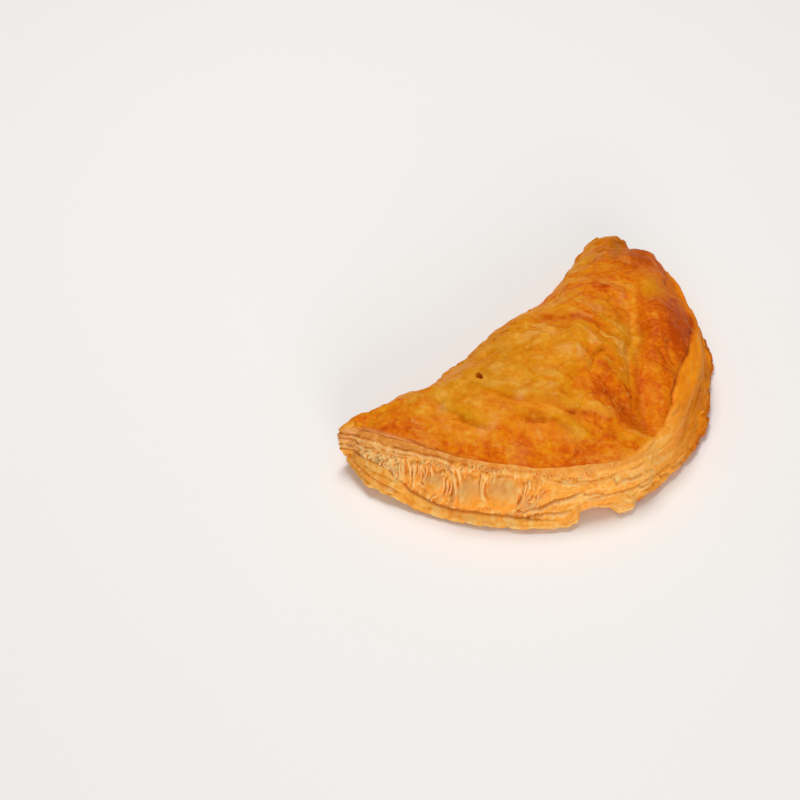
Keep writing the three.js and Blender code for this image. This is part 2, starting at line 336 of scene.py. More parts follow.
# %% Copy the solid and draw its wall in
# The lip ends at a share of the rim's height.
LIP_FEET = [(0, 0.93), (0.76, 0.93), (0.8, 0.92), (0.87, 0.88), (0.926, 0.865), (1, 0.85)]
MERGE_WITHIN = 1e-6  # in metres
FLAT_ENOUGH = math.radians(60)
SQUARE_ENOUGH = math.radians(80)
WALL_CLEARANCE = 6.0  # how far behind the lip the wall is drawn in
TIP_RUN_OUT = 5.0  # distance behind the tip line over which that fades
STRIP_FROM = 0.49  # share at which the piece with the torn leaves begins
STRIP_FULL = 0.56  # share from which it stands out in full
WALL_GONE = 0.6  # share from which the skin's own wall is out of sight

active_only(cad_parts["meat_pie"])
bpy.ops.object.duplicate()
crust = bpy.context.object
crust.name = "crust"
bpy.ops.object.mode_set(mode="EDIT")
bpy.ops.mesh.select_all(action="SELECT")
bpy.ops.mesh.remove_doubles(threshold=MERGE_WITHIN)
bpy.ops.mesh.tris_convert_to_quads(face_threshold=FLAT_ENOUGH, shape_threshold=SQUARE_ENOUGH)
bpy.ops.object.mode_set(mode="OBJECT")
apply_modifier(crust, "SUBSURF", levels=1, render_levels=1)

skin = mesh_points(crust.data)
share = edge_share(skin)
inset = at_station(RIM_INSETS, share)
depth = edge_depth(skin)
below_lip = skin[:, 2] < at_station(LIP_FEET, share) * at_station(RIM_HEIGHTS, share)
near_edge = (depth < inset + WALL_CLEARANCE) & below_lip
drawn_in = np.where(near_edge, inset + WALL_CLEARANCE - depth, 0) * (1 - smooth(skin[:, 1], 0, TIP_RUN_OUT))
drawn_in *= smooth(share, STRIP_FULL, WALL_GONE)
skin[:, :2] -= edge_outward(skin) * drawn_in[:, None]
set_mesh_points(crust.data, skin)
print("points drawn in behind the lip:", int((drawn_in > 0).sum()))

# %% Remesh it evenly
SKIN_FACE = 0.515  # side of a face
EVENING = 8  # rounds of smoothing that take out the remesher's steps

active_only(crust)
crust.data.remesh_voxel_size = SKIN_FACE * MM
bpy.ops.object.voxel_remesh()
apply_modifier(crust, "SMOOTH", factor=0.5, iterations=EVENING)
bpy.ops.object.shade_smooth()
print("faces in the skin:", len(crust.data.polygons))

# %% Round the right border
ROUND_BORDER = 6.0  # width of the smoothed border inside the top edge
ROUND_FROM = (0.14, 0.24)  # shares over which the smoothing sets in
ROUND_ABOVE = (1.5, 4)  # heights over which it sets in
ROUNDING = 320  # rounds of smoothing
WEIGHT_STEP = 0.2

skin = mesh_points(crust.data)
share = edge_share(skin)
on_border = smooth(at_station(RIM_INSETS, share) + ROUND_BORDER - edge_depth(skin), 0, 3)
on_border *= smooth(share, *ROUND_FROM) * (1 - smooth(share, STRIP_FROM - 0.02, STRIP_FULL))
on_border *= smooth(skin[:, 2], *ROUND_ABOVE)
group = crust.vertex_groups.new(name="right_border")
for weight in np.linspace(WEIGHT_STEP, 1, 5):
    members = np.flatnonzero(np.abs(on_border - weight) <= WEIGHT_STEP / 2)
    group.add(members.tolist(), float(weight), "REPLACE")
apply_modifier(crust, "SMOOTH", factor=0.5, iterations=ROUNDING, vertex_group="right_border")
crust.vertex_groups.clear()

# %% Thin the faces that nobody sees
HIDDEN_KEPT = 0.03  # share of the hidden faces that stays
UNDERSIDE = 0.3  # height below which a point lies on the floor
BEHIND_LIP = 3  # how far behind the lip the drawn-in wall is out of sight
BEHIND_HEIGHT = 12
BEHIND_SLOPE = 0.3
CLEAR_OF_FOLD = -3

skin = mesh_points(crust.data)
normals = mesh_normals(crust.data)
share = edge_share(skin)
behind_lip = edge_depth(skin) > at_station(RIM_INSETS, share) + BEHIND_LIP
behind_lip &= (skin[:, 2] < BEHIND_HEIGHT) & (normals[:, 2] < BEHIND_SLOPE)
behind_lip &= (share > WALL_GONE) & (skin[:, 1] < CLEAR_OF_FOLD)
hidden = (skin[:, 2] < UNDERSIDE) | behind_lip
crust.data.vertices.foreach_set("select", hidden)
crust.data.edges.foreach_set("select", np.zeros(len(crust.data.edges), bool))
crust.data.polygons.foreach_set("select", np.zeros(len(crust.data.polygons), bool))
bpy.ops.object.mode_set(mode="EDIT")
bpy.ops.mesh.select_mode(type="VERT")
bpy.ops.mesh.decimate(ratio=HIDDEN_KEPT)
bpy.ops.object.mode_set(mode="OBJECT")
print("triangles left in the skin:", sum(len(face.vertices) - 2 for face in crust.data.polygons))

# %% [markdown]
# ## Relief of the baked top
# The top sheet sags between folds that run across it, puckers on the dome, wrinkles along the lobe at its
# right, and lets thin flakes of skin lift at their edges. The folds that stand out are drawn as lines in the
# plan. The rest is noise, stretched along the way the dough was rolled.

# %% Draw the folds
CREASE_CORNER = np.array((45.0, -25.5))
CREASE_FRONT = np.array((-9.0, -82.0))
DOME_CREASE = [(33, -33), (29, -39), (23, -46), (15, -52), (9, -56), (1, -64), (-2, -69), (-4, -74),
               (-6, -80)]
LOBE_CREASE = [(34, -39), (29, -44), (22, -51), (15, -57), (8, -61.5), (2, -67), (-3, -74), (-6, -80)]
LOBE_EDGE = [(62, -28), (55, -36), (53, -42), (49, -49), (44, -55), (37, -60), (31, -64), (25, -67),
             (19, -70), (6, -77), (-4, -80)]
FLANK_RIDGE = [(-14, -45), (-7, -52), (-2, -57.5), (-1, -63), (-2, -68), (-4, -73), (-7, -79)]
MID_FURROW = [(-38, -26), (-35, -36), (-32, -42), (-28, -48), (-25, -55), (-21, -60), (-17, -65),
              (-13, -71)]
FRONT_FURROW = [(-50, -15), (-49, -22), (-48, -29), (-49, -35), (-47, -42), (-42, -48)]
ROLL_FURROW = [(-42, -42), (-38, -47), (-34.5, -53.5), (-30, -58), (-28, -63), (-27, -67), (-22.5, -73)]
FACETS = [[(-0.4, -30.1), (4.1, -32.5), (5, -37.1)], [(-7.6, -42.8), (-0.3, -46.3), (5.4, -44.9)],
          [(9.4, -36.9), (11.4, -41.9), (10.6, -48.1)], [(-15.4, -29.6), (-11.6, -32.1), (-6.7, -35.3)]]
FINE_RIDGES = [[(-43.3, -26.6), (-42.7, -35.1)], [(-42, -29.1), (-41.3, -38.3)],
               [(-40.5, -32.6), (-39.8, -39.6)]]
BACK_STEP = [(2, -17), (6, -25), (12, -31), (15, -37), (18, -42), (18, -48)]
DOME_TUCK = [(-7, -53), (-4, -52), (2, -50), (8, -48)]
TIP_FLAP = [(26, -34), (28, -32), (32, -31), (37, -33)]
GATHERS = [[(23, -68), (22, -65), (22, -61), (23, -57)], [(24, -67), (24, -64), (26, -60), (29, -56)],
           [(22, -69), (20, -66), (18, -63), (17, -59)]]
RUN_IN = 0.12  # share of a line's length over which it fades at either end
LONG_FADE = 0.3  # the same for a line that fades slowly


def along_line(plan, line, run_in):
    """Distance from a line, positive on its left, and a share that fades to 0 at the line's ends."""
    side, place = line_side(plan, line)
    return side, smooth(place, 0, run_in) * (1 - smooth(place, 1 - run_in, 1))


def furrow(plan, line, fall, width, run_in=RUN_IN):
    """A valley along a line that fades at the line's ends."""
    side, fade = along_line(plan, line, run_in)
    return -fall * fade * np.exp(-((side / width) ** 2))


def step_down(plan, line, fall, edge_width, reach, run_in=RUN_IN):
    """A sheet that ends at a line: the line's left stays, its right falls and comes back over the reach."""
    side, fade = along_line(plan, line, run_in)
    return -fall * fade * smooth(-side, -edge_width, edge_width) * np.exp(-np.maximum(-side, 0) / reach)


def beside(plan, line, middle, width, run_in):
    """1 on a line drawn at a distance to the left of another, falling to 0 over the width."""
    side, fade = along_line(plan, line, run_in)
    return fade * np.exp(-(((side - middle) / width) ** 2))


def turned(points, direction):
    """The points in axes along and across a level direction."""
    along = np.array(direction) / np.linalg.norm(direction)
    across = np.array((-along[1], along[0]))
    return np.column_stack((points[:, :2] @ along, points[:, :2] @ across, points[:, 2]))


# %% Find the parts of the top
DOME_GRAIN = np.array((0.5, -0.87))
LOBE_GRAIN = CREASE_CORNER - CREASE_FRONT
GLAZE_GAPS = [(0, 0), (0.26, 0.5), (0.33, 3.2), (0.38, 4.8), (0.45, 3.8), (0.53, 1.8), (0.58, 0.4), (1, 0)]

skin = mesh_points(crust.data)
normals = mesh_normals(crust.data)
share = edge_share(skin)
rim = at_station(RIM_HEIGHTS, share)
inset = at_station(RIM_INSETS, share)
depth = edge_depth(skin)
on_front = 1 - smooth(skin[:, 1], -3, 2)
on_top = smooth(normals[:, 2], 0.1, 0.45) * smooth(skin[:, 2], 3, 8)
cut_face = smooth(inset + 1.2 - depth, 0, 1) * smooth(skin[:, 2] / rim, 0.6, 0.7) * on_front
on_lip = cut_face * (1 - smooth(normals[:, 2], 0.5, 0.85)) * smooth(share, 0.74, 0.86)
lobe_side, _ = line_side(skin, LOBE_CREASE)
to_lobe = smooth(skin[:, 0] - skin[:, 1], 30, 60)
in_lobe = smooth(lobe_side, -1, 1) * to_lobe
glaze_gap = at_station(GLAZE_GAPS, share) + inset + 0.6 * noise(skin, 5, 26)
unglazed = (1 - smooth(depth - glaze_gap, -0.7, 0.7)) * on_front * (1 - smooth(share, 0.56, 0.64))

# %% Press the folds in
# A fold has its depth and width, and a step its fall, the width of its edge and the reach over which it
# comes back. A pucker has its place, radius and height.
PUCKERS = [(-4, -43, 5, 1.2), (3, -44, 4, -0.9), (-10, -37, 5, 0.7), (9, -39, 5, 1.0), (-28, -63, 5, 1.0),
           (-50, -24, 2.4, -0.9), (-20, -50, 6, 0.8), (38, -46, 9, 0.9), (14, -59, 6, 0.6), (62, -22, 9, 1.4),
           (69, -5, 5, 1.6), (-42, -36, 5, 0.8), (-33, -36, 4, 0.6), (62, 4, 5, 1.8), (71.5, 1, 3, -1.5)]
WARP = 1.6  # how far the dough's grain is stirred


def spots(points, places):
    """Soft round spots, each with its place, radius and strength."""
    total = np.zeros(len(points))
    for x, y, radius, strength in places:
        distance = np.hypot(points[:, 0] - x, points[:, 1] - y)
        total += strength * np.exp(-((distance / radius) ** 2))
    return total


warp = WARP * np.column_stack([layered(skin, 12, 2, seed) for seed in (5, 6, 7)])
stirred = skin + warp
dome_axes = turned(stirred, DOME_GRAIN)
lobe_axes = turned(skin + 0.6 * warp, LOBE_GRAIN)
grain_axes = np.where(in_lobe[:, None] > 0.5, lobe_axes, dome_axes)
folds = furrow(stirred, DOME_CREASE, 0.7, 1.8) + furrow(stirred, LOBE_CREASE, 0.9, 1.6)
folds += step_down(stirred, LOBE_EDGE[::-1], 1.4, 0.6, 9)
folds += step_down(stirred, FLANK_RIDGE, 2.2, 1.8, 7)
# Beside each of the three long furrows, painted shade lies on its left and a painted highlight on its right.
painted_fold_shade = np.zeros(len(skin))
painted_fold_light = np.zeros(len(skin))
for line in (MID_FURROW, FRONT_FURROW, ROLL_FURROW):
    folds += step_down(stirred, line, 1.7, 0.8, 6, LONG_FADE) + furrow(stirred, line, 0.7, 1.1, LONG_FADE)
    painted_fold_shade += beside(stirred, line, 1.4, 2.2, LONG_FADE)
    painted_fold_light += beside(stirred, line, -2.4, 1.7, LONG_FADE)
for line in FACETS:
    folds += step_down(stirred, line, 0.9, 0.5, 4, LONG_FADE)
for line in FINE_RIDGES:
    folds -= furrow(stirred, line, 0.4, 0.5, LONG_FADE)
folds += step_down(stirred, BACK_STEP, 2.0, 0.9, 6) + step_down(stirred, TIP_FLAP, 1.1, 0.5, 4)
folds += furrow(stirred, DOME_TUCK, 1.2, 1.4)
for line in GATHERS:
    folds += furrow(stirred, line, 0.7, 0.9)
folds += spots(stirred, PUCKERS)

# %% Wrinkle the skin and lift its flakes
CRUMPLED = (0, -41)  # middle of the part of the dome that puckers most
SHARD = np.array((7.5, 3.6))  # length and width of a crisp shard of leaf, along and across the grain
SWELLING = 0.9  # these heights are in millimetres
WRINKLE = 0.24
FINE_WRINKLE = 0.16
FLAKE = 0.16
SHARD_TILT = 0.85
FRAYED = 1.3

swelling = SWELLING * layered(skin, 10, 2, 1)
crumpled = 1 - smooth(np.hypot(stirred[:, 0] - CRUMPLED[0], stirred[:, 1] - CRUMPLED[1]), 10, 26)
patches = smooth(noise(skin, 15, 27), -0.15, 0.35) * (1 - 0.8 * crumpled)
wrinkles = -WRINKLE * (1 - in_lobe / 3) * patches * (1 - np.abs(noise(grain_axes, (15, 3.6, 30), 2))) ** 4
flake_field = noise(grain_axes, (9, 3.4, 20), 8) + 0.45 * noise(skin, 1.9, 9) + 0.25 * noise(skin, 0.9, 13)
flaky = smooth(noise(skin, 11, 24), -0.05, 0.3) * (1 - in_lobe)
flakes = FLAKE * flaky * smooth(flake_field, 0.12, 0.24)
loose = scattered_flakes(300, 101, (-20, 90), (-80, 40), (0.6, 2.2), (0.3, 0.8), 0.5, (0.06, 0.22), (0, 0.1))
loose_level, loose_tone, _ = lay_flakes(dome_axes[:, :2], loose, 0.0)
flakes += (1 - in_lobe) * loose_level
frayed = FRAYED * np.column_stack([layered(skin, 4, 2, seed) for seed in (34, 35)])
# Each shard gets a random tone that is painted light and shade, standing in for its facet catching the light
# or not; it browns some shards and makes others pale.
shard_height, shard_light_and_shade = shards((dome_axes[:, :2] + frayed) / SHARD, 36)
near_lobe = smooth(lobe_side, -7, -2) * to_lobe
in_shards = (1 - near_lobe) * smooth(noise(skin, 13, 33), -0.35, 0.1)
flakes += SHARD_TILT * in_shards * shard_height
fine = smooth(noise(skin, 9, 32), -0.1, 0.3) * (1 - in_lobe) * (1 - crumpled)
wrinkles -= FINE_WRINKLE * fine * (1 - np.abs(noise(dome_axes, (7, 1.7, 12), 31))) ** 3
puckered = (0.28 + 0.3 * crumpled) * layered(stirred, 4.2, 3, 14)

# %% Put the relief together
relief = on_top * (1 - unglazed) * (folds + swelling + wrinkles + flakes + puckered)
on_fold = smooth(skin[:, 1], -6, 0) * (1 - on_top) * smooth(skin[:, 2], 0.5, 3)
relief += on_fold * (0.7 * noise(skin, (15, 15, 5), 28) + 0.3 * layered(stirred, 5, 3, 29))
print("relief in mm: from", relief.min().round(2), "to", relief.max().round(2))

# %% Lay flakes on the bare border and grain on the lip
BORDER = (0, 0.6 * EDGE_LENGTH)

girth = skin[:, 2] + 0.9 * np.maximum(depth, 0)
around = np.column_stack((share * EDGE_LENGTH, girth))
border_flakes = scattered_flakes(46, 81, BORDER, (4, 30), (5, 12), (1.5, 4), 0.35, (0.1, 0.5), (0, 0.2))
border_flakes += scattered_flakes(60, 87, BORDER, (2, 20), (8, 20), (0.5, 1.2), 0.06, (0.1, 0.6), (0, 0.2))
border_flakes += scattered_flakes(220, 82, BORDER, (0, 10), (1.0, 3.5), (0.4, 1.1), 0.25, (0.2, 1.3),
                                  (0, 0.4))
level, leaf_tone, leaf_border = lay_flakes(around, border_flakes, 0.0)
border_relief = level + 0.35 * flat_noise(around, (9, 5), 83, 3)
lip_grain = 0.08 * flat_noise(around, (0.9, 6), 12, 1) + 0.4 * flat_noise(around, (12, 1.6), 15, 2)
off_floor = smooth(skin[:, 2], 0.2, 1.2)
skin += normals * (relief + on_lip * lip_grain + unglazed * off_floor * border_relief)[:, None]

# %% Pinch the steam slit and set the skin in place
VENT_PLACE = np.array((-32.2, -26.8))
VENT_TURN = math.radians(-19)
VENT_ACROSS = np.array((math.cos(VENT_TURN), math.sin(VENT_TURN)))  # the slit's narrow way
VENT_PINCH = 0.3  # share by which its sides come together

from_vent = skin[:, :2] - VENT_PLACE
near_vent = on_top * (1 - smooth(np.linalg.norm(from_vent, axis=1), 1.5, 6))
pinch = VENT_PINCH * near_vent * (from_vent @ VENT_ACROSS)
skin[:, :2] -= pinch[:, None] * VENT_ACROSS
skin[:, 2] = np.maximum(skin[:, 2], 0)
set_mesh_points(crust.data, skin)

# %% [markdown]
# ## Browning
# The oven browned the high folds, the rim and the lobe most, the egg wash pooled golden on the dome, and
# the strip outside the lobe had no wash at all. Each of these is painted on the skin as a number that the
# material turns into colour. Light and shade are painted on the same way: shade in the creases, in the
# steam slit and beside some folds, and highlights beside the long furrows and on bright spots of the dome.

# %% Paint the browning, with painted shade below two folds
BROWNED_SPOTS = [(50, -15, 9, 0.7), (44, -50, 10, 0.8), (34, -56, 9, 0.7), (22, -62, 9, 0.25),
                 (8, -70, 8, 0.1), (32, -26, 8, 0.6), (-4, -66, 9, 0.4), (-40, -58, 12, 0.2),
                 (-20, -70, 10, 0.3), (-62, -14, 9, 0.3), (14, -33, 5, 0.5), (58, -24, 9, 0.6),
                 (-34, -48, 8, 0.2), (62, -8, 12, 1.2), (-2, -58, 7, 0.2)]
GOLDEN_SPOTS = [(-12, -10, 18, 0.7), (-22, -33, 13, 0.7), (52, -8, 13, 0.8), (45, -37, 5, 1.1),
                (-12, -46, 8, 0.5), (-46, -20, 11, 0.6), (66, -2, 10, 1.0), (2, -36, 8, 0.5),
                (-32, -30, 10, 0.5), (20, -45, 6, 0.9), (12, -51, 5, 0.8)]
# Pale spots: some are pale flecks of dough, others are painted highlights on facets that face the light.
PALE_AND_LIT_SPOTS = [(-3, -44.4, 2.2, 1.0), (-6.6, -42, 2.2, 0.9), (-4.2, -32, 2.6, 0.6), (9, -39, 2.2, 0.7),
              (-47.5, -41.5, 2.2, 0.9), (-44, -43.5, 2.0, 0.8), (-22, -48, 1.6, 1.0), (-48, -24.5, 1.8, 0.9),
              (34, -33, 2.4, 0.7), (-30, -43, 1.8, 0.8), (20, -33, 2.0, 0.5)]

mottle = layered(stirred, 7, 4, 20)
streaks = noise(grain_axes, (9, 1.6, 20), 22) + 0.6 * noise(grain_axes, (5, 0.9, 20), 23)
streaks *= 1 - 0.8 * crumpled
browning_and_shade = 0.38 + 0.5 * spots(stirred, BROWNED_SPOTS) - 0.2 * spots(stirred, GOLDEN_SPOTS)
browning_and_shade += 0.2 * mottle + 0.08 * streaks - 0.04 * folds + 0.14 * in_lobe
# Painted shade: the slope in front of the back step and beside the flank ridge is darkened as if in shadow.
browning_and_shade += 0.3 * beside(stirred, BACK_STEP, -2, 2.2, LONG_FADE)
browning_and_shade += 0.2 * beside(stirred, FLANK_RIDGE, -4, 4, 0.2)
rim_browned = smooth(share, 0.52, 0.62) * (1 - smooth(share, 0.93, 0.98)) * (1 - smooth(depth - inset, 0, 9))
browning_and_shade += 0.24 * rim_browned + 0.26 * in_shards * (shard_light_and_shade - 0.5)
browning_and_shade += 0.4 * smooth(skin[:, 1], -6, 0) * (1 - smooth(skin[:, 2], 1, 7 + 2 * mottle))

# %% Paint the wash, the pale flakes, painted light and shade, and the bare dough
golden = spots(stirred, GOLDEN_SPOTS) * (0.75 + 0.6 * mottle)
flake_edge = flaky * np.exp(-(((flake_field - 0.19) / 0.05) ** 2))
pale_and_highlight = 0.8 * spots(stirred, PALE_AND_LIT_SPOTS) * smooth(mottle, -0.5, 0.2) + 0.12 * flake_edge
pale_and_highlight += 0.2 * (1 - in_lobe) * smooth(loose_level, 0.02, 0.08) * smooth(loose_tone, 0.7, 0.8)
pale_and_highlight += 0.4 * in_shards * (0.3 + 0.7 * crumpled) * (1 - smooth(shard_light_and_shade, 0.14, 0.24))
# Painted shade: the steep sides inside the steam slit are darkened as if in shadow.
vent_shade_mask = 1 - smooth(np.hypot(skin[:, 0] - VENT_PLACE[0], skin[:, 1] - VENT_PLACE[1]), 2.4, 3.2)
vent_shade_mask *= 1 - smooth(normals[:, 2], 0.55, 0.85)
# Painted shade: the creases beside the lobe, along its edge and in its gathers are darkened as if in shadow.
painted_crease_shade = furrow(stirred, DOME_CREASE, 1, 0.7) + furrow(stirred, LOBE_CREASE, 1, 0.8)
painted_crease_shade += furrow(stirred, LOBE_EDGE, 1, 0.8)
for line in GATHERS:
    painted_crease_shade += furrow(stirred, line, 0.7, 0.5)
glazed = on_top * (1 - unglazed)
rim_line = cut_face * (1 - smooth(normals[:, 2], 0.2, 0.6)) * (1 - on_lip) * (1 - unglazed)
to_front = smooth(share, 0.42, 0.52)
bare_brown = 1 - smooth(girth, 1, 10 - 5 * to_front) + 0.25 * (1 - to_front)
bare_brown += 0.4 * flat_noise(around, (9, 4), 86)
bare_brown += 0.5 * flat_noise(around, (2, 1.2), 88) * (1 - smooth(girth, 6, 12))
crust_paints = {
    "browning_and_shade": browning_and_shade,
    "golden": golden * glazed,
    "pale_and_highlight": pale_and_highlight * glazed,
    "crease_shade": -painted_crease_shade * on_top,
    "fold_shade": painted_fold_shade * glazed,
    "fold_highlight": painted_fold_light * glazed,
    "in_lobe": in_lobe,
    "lip": on_lip,
    "lip_pale": smooth(share, 0.82, 0.9),
    "lip_tone": 0.5 + 0.7 * flat_noise(around, (16, 1.3), 16),
    "rim_line": rim_line,
    "vent_shade": vent_shade_mask,
    "bare": unglazed,
    "bare_tone": 0.3 + 0.4 * leaf_tone + 0.3 * flat_noise(around, (14, 3), 84),
    "bare_edge": leaf_border * (0.5 + 0.5 * flat_noise(around, (6, 3), 85)),
    "bare_brown": bare_brown,
    "bare_pale": to_front,
}
for name, values in crust_paints.items():
    paint(crust.data, name, values)
print("paints on the skin:", len(crust_paints))

# %% [markdown]
# ## The cut edge
# Below the lip the leaves show. On the front left they opened: thin membranes bulge between the upper
# leaves and the base sheet, with lace and strands where they tore. To the right the leaves lie closed, one
# over the other, like thin crumpled paper. The edge is a flat grid of faces that is bent round the pie,
# a little way onto the fold at the left tip, and then pushed in and out.

# %% Bend a grid round the edge
TIP_WRAP = 7.0  # how far the strip runs onto the fold
LIP_OVERLAP = 1.4  # how far the strip runs up behind the lip
COLUMN_WIDTH = 0.172
UNDER_ROWS = 5
WALL_ROWS = 104
TUCK_ROWS = 5
FOLD_RUN = 12  # length of the fold that the strip's path takes in
FOLD_POINTS = 200
WALK_STEP = 0.1
WALK_SPARE = 2
TURN_BLUR = 41  # steps of the walk over which the way out is averaged


def read_path(walk, walked, values):
    """Values with two columns, read at places along a walk."""
    return np.column_stack([np.interp(walk, walked, values[:, axis]) for axis in range(2)])


tip_part = np.linspace(0, 1, FOLD_POINTS) ** 2 * FOLD_RUN
left_fold = np.column_stack((-HALF_LENGTH + tip_part, fold_reach(-HALF_LENGTH + tip_part)))
path = np.vstack((edge_line, left_fold[1:]))
path_walked = np.concatenate(([0], np.cumsum(np.linalg.norm(np.diff(path, axis=0), axis=1))))
even_walk = np.arange(0, EDGE_LENGTH + TIP_WRAP + WALK_SPARE, WALK_STEP)
even_path = read_path(even_walk, path_walked, path)
heading = np.gradient(even_path, even_walk, axis=0)
blur = np.hanning(TURN_BLUR) / np.hanning(TURN_BLUR).sum()
facing = np.column_stack([np.convolve(part, blur, "same") for part in (-heading[:, 1], heading[:, 0])])
facing /= np.linalg.norm(facing, axis=1, keepdims=True)

column_walk = np.arange((STRIP_FROM - 0.01) * EDGE_LENGTH, EDGE_LENGTH + TIP_WRAP, COLUMN_WIDTH)
column_share = column_walk / EDGE_LENGTH
column_base = read_path(column_walk, even_walk, even_path)
column_out = read_path(column_walk, even_walk, facing)
column_wall = at_station(RIM_HEIGHTS, column_share) * at_station(LIP_FEET, column_share) + LIP_OVERLAP

rows = UNDER_ROWS + WALL_ROWS + TUCK_ROWS
columns = len(column_walk)
bpy.ops.object.select_all(action="DESELECT")
bpy.ops.mesh.primitive_grid_add(x_subdivisions=columns - 1, y_subdivisions=rows - 1, size=1)
edge = bpy.context.object
edge.name = "cut_edge"
grid = np.empty(3 * len(edge.data.vertices))
edge.data.vertices.foreach_get("co", grid)
grid = grid.reshape(-1, 3)
column = np.rint((grid[:, 0] + 0.5) * (columns - 1)).astype(int)
row = np.rint((grid[:, 1] + 0.5) * (rows - 1)).astype(int)
lookup = np.empty((rows, columns), int)
lookup[row, column] = np.arange(len(grid))
print("strip of", columns, "columns and", rows, "rows")


def blurred(values, reach):
    """The strip's values averaged over a few rows and columns."""
    field = values[lookup]
    window = np.hanning(2 * reach + 3)[1:-1]
    for axis in (0, 1):
        even = np.convolve(np.ones(field.shape[axis]), window, "same")
        field = np.apply_along_axis(lambda line: np.convolve(line, window, "same") / even, axis, field)
    return field[row, column]


# %% Shape the strip's section
# Heights go evenly up the wall. How far each point stands out comes from two sections: the opened one
# with a base sheet that rises to a crease, and the closed one that leans back evenly to the lip.
BASE_SHEET = [(0.6, 4), (0.744, 3.8), (0.79, 3.8), (0.826, 3.0), (0.853, 3.8), (0.879, 4.8), (0.897, 9),
              (0.92, 12), (0.953, 11), (1, 8.6)]
TORN_TOPS = [(0.66, 21.4), (0.75, 23), (0.8, 22.8), (0.84, 21), (0.87, 20), (0.9, 18.2), (0.926, 16.6),
             (0.96, 14.4), (1, 12)]
GROUND_GAP = 0.15
UNDER_REACH = 6.0
CREASE_STEP = 0.6  # how far the torn leaves stand back from the top of the base sheet

share = column_share[column]
wall = column_wall[column]
inset = at_station(RIM_INSETS, share)
reach = at_station(BASE_REACHES, share)
up = np.clip((row - UNDER_ROWS) / (WALL_ROWS - 1), 0, 1)
height = GROUND_GAP + up * (wall - GROUND_GAP)
along = np.column_stack((column_walk[column], height))
opened = smooth(share, 0.66, 0.72)
sheet_top = at_station(BASE_SHEET, share) + 0.35 * flat_noise(along * (1, 0), (9, 1), 46, 3)
torn_top = at_station(TORN_TOPS, share) + 0.5 * flat_noise(along * (1, 0), (6, 1), 40, 3)
above_sheet = np.clip((height - sheet_top) / (wall - sheet_top), 0, 1)
sheet_face = (inset + reach) * (1 - 0.3 * np.clip(height / sheet_top, 0, 1) ** 1.6)
open_foot = 0.7 * (inset + reach) - CREASE_STEP
open_face = open_foot + (0.22 * inset - open_foot) * above_sheet + 0.7 * np.sin(math.pi * above_sheet)
open_out = sheet_face + (open_face - sheet_face) * smooth(height - sheet_top, -0.2, 0.2)
closed_out = inset * (1 - 0.86 * up**0.85) + reach * (1 - smooth(up, 0.1, 0.42)) + 0.8 * np.sin(math.pi * up)
out = closed_out + (open_out - closed_out) * opened
at_tip = smooth(share, 0.965, 1) * smooth(height, 3, 8) + smooth(share, 0.985, 1) * (1 - smooth(height, 3, 8))
out += (-0.2 - 0.8 * (1 - up) - out) * at_tip
out -= 0.7 * (1 - smooth(height, 0, 1.1))
on_wall = smooth(up, 0.01, 0.06) * (1 - smooth(up, 0.97, 1))
torn_zone = opened * on_wall * smooth(height - sheet_top, 0.0, 0.7)
torn_zone *= 1 - smooth(height - torn_top, -0.3, 0.3)

# %% Swell the membranes and stretch the strands
# Each membrane is a pillow given by its share, height, half width, half height and bulge. Strands run in
# fans from a foot to a head, each a (share, height) at either end of the fan, with their number, thickness,
# rise and bow.
MEMBRANES = [(0.752, 12.4, 6.2, 7.4, 2.3), (0.796, 11.6, 4.8, 6.8, 2.5), (0.846, 12.4, 4.4, 4.6, 2.0),
             (0.870, 12.2, 2.4, 3.0, 1.3), (0.899, 16.8, 2.2, 1.7, 1.0), (0.826, 17.8, 3.2, 2.0, 1.1),
             (0.714, 15.6, 3.4, 2.8, 1.2), (0.690, 17.0, 4.2, 2.2, 1.0), (0.778, 20.8, 3.6, 1.3, 0.9),
             (0.733, 20.8, 4.2, 1.4, 0.9), (0.886, 10.6, 2.4, 2.4, 1.0), (0.811, 5.8, 2.8, 1.6, 1.1),
             (0.853, 6.8, 3.6, 1.9, 1.0), (0.706, 10.4, 3.0, 2.4, 0.9), (0.768, 5.4, 4.0, 1.3, 0.8),
             (0.832, 7.8, 2.4, 2.8, 1.2), (0.856, 18.4, 2.2, 1.4, 0.9)]
POCKETS = [(0.8215, 10.2, 1.3, 2.4, 3.0), (0.8805, 14.2, 1.3, 2.6, 2.6), (0.869, 16.8, 1.7, 1.4, 2.8),
           (0.892, 13.0, 1.0, 2.0, 2.2), (0.861, 10.0, 1.0, 1.8, 2.0), (0.708, 12.8, 1.6, 1.4, 2.0),
           (0.838, 18.2, 1.7, 0.9, 1.8), (0.755, 19.6, 4.2, 0.7, 1.6), (0.844, 17.0, 1.6, 0.8, 1.6),
           (0.8105, 16.4, 0.8, 2.0, 1.9), (0.7745, 8.6, 0.5, 3.0, 1.5), (0.731, 10.8, 0.9, 2.8, 1.9),
           (0.795, 18.6, 3.0, 0.6, 1.4), (0.720, 18.6, 2.0, 0.6, 1.4)]
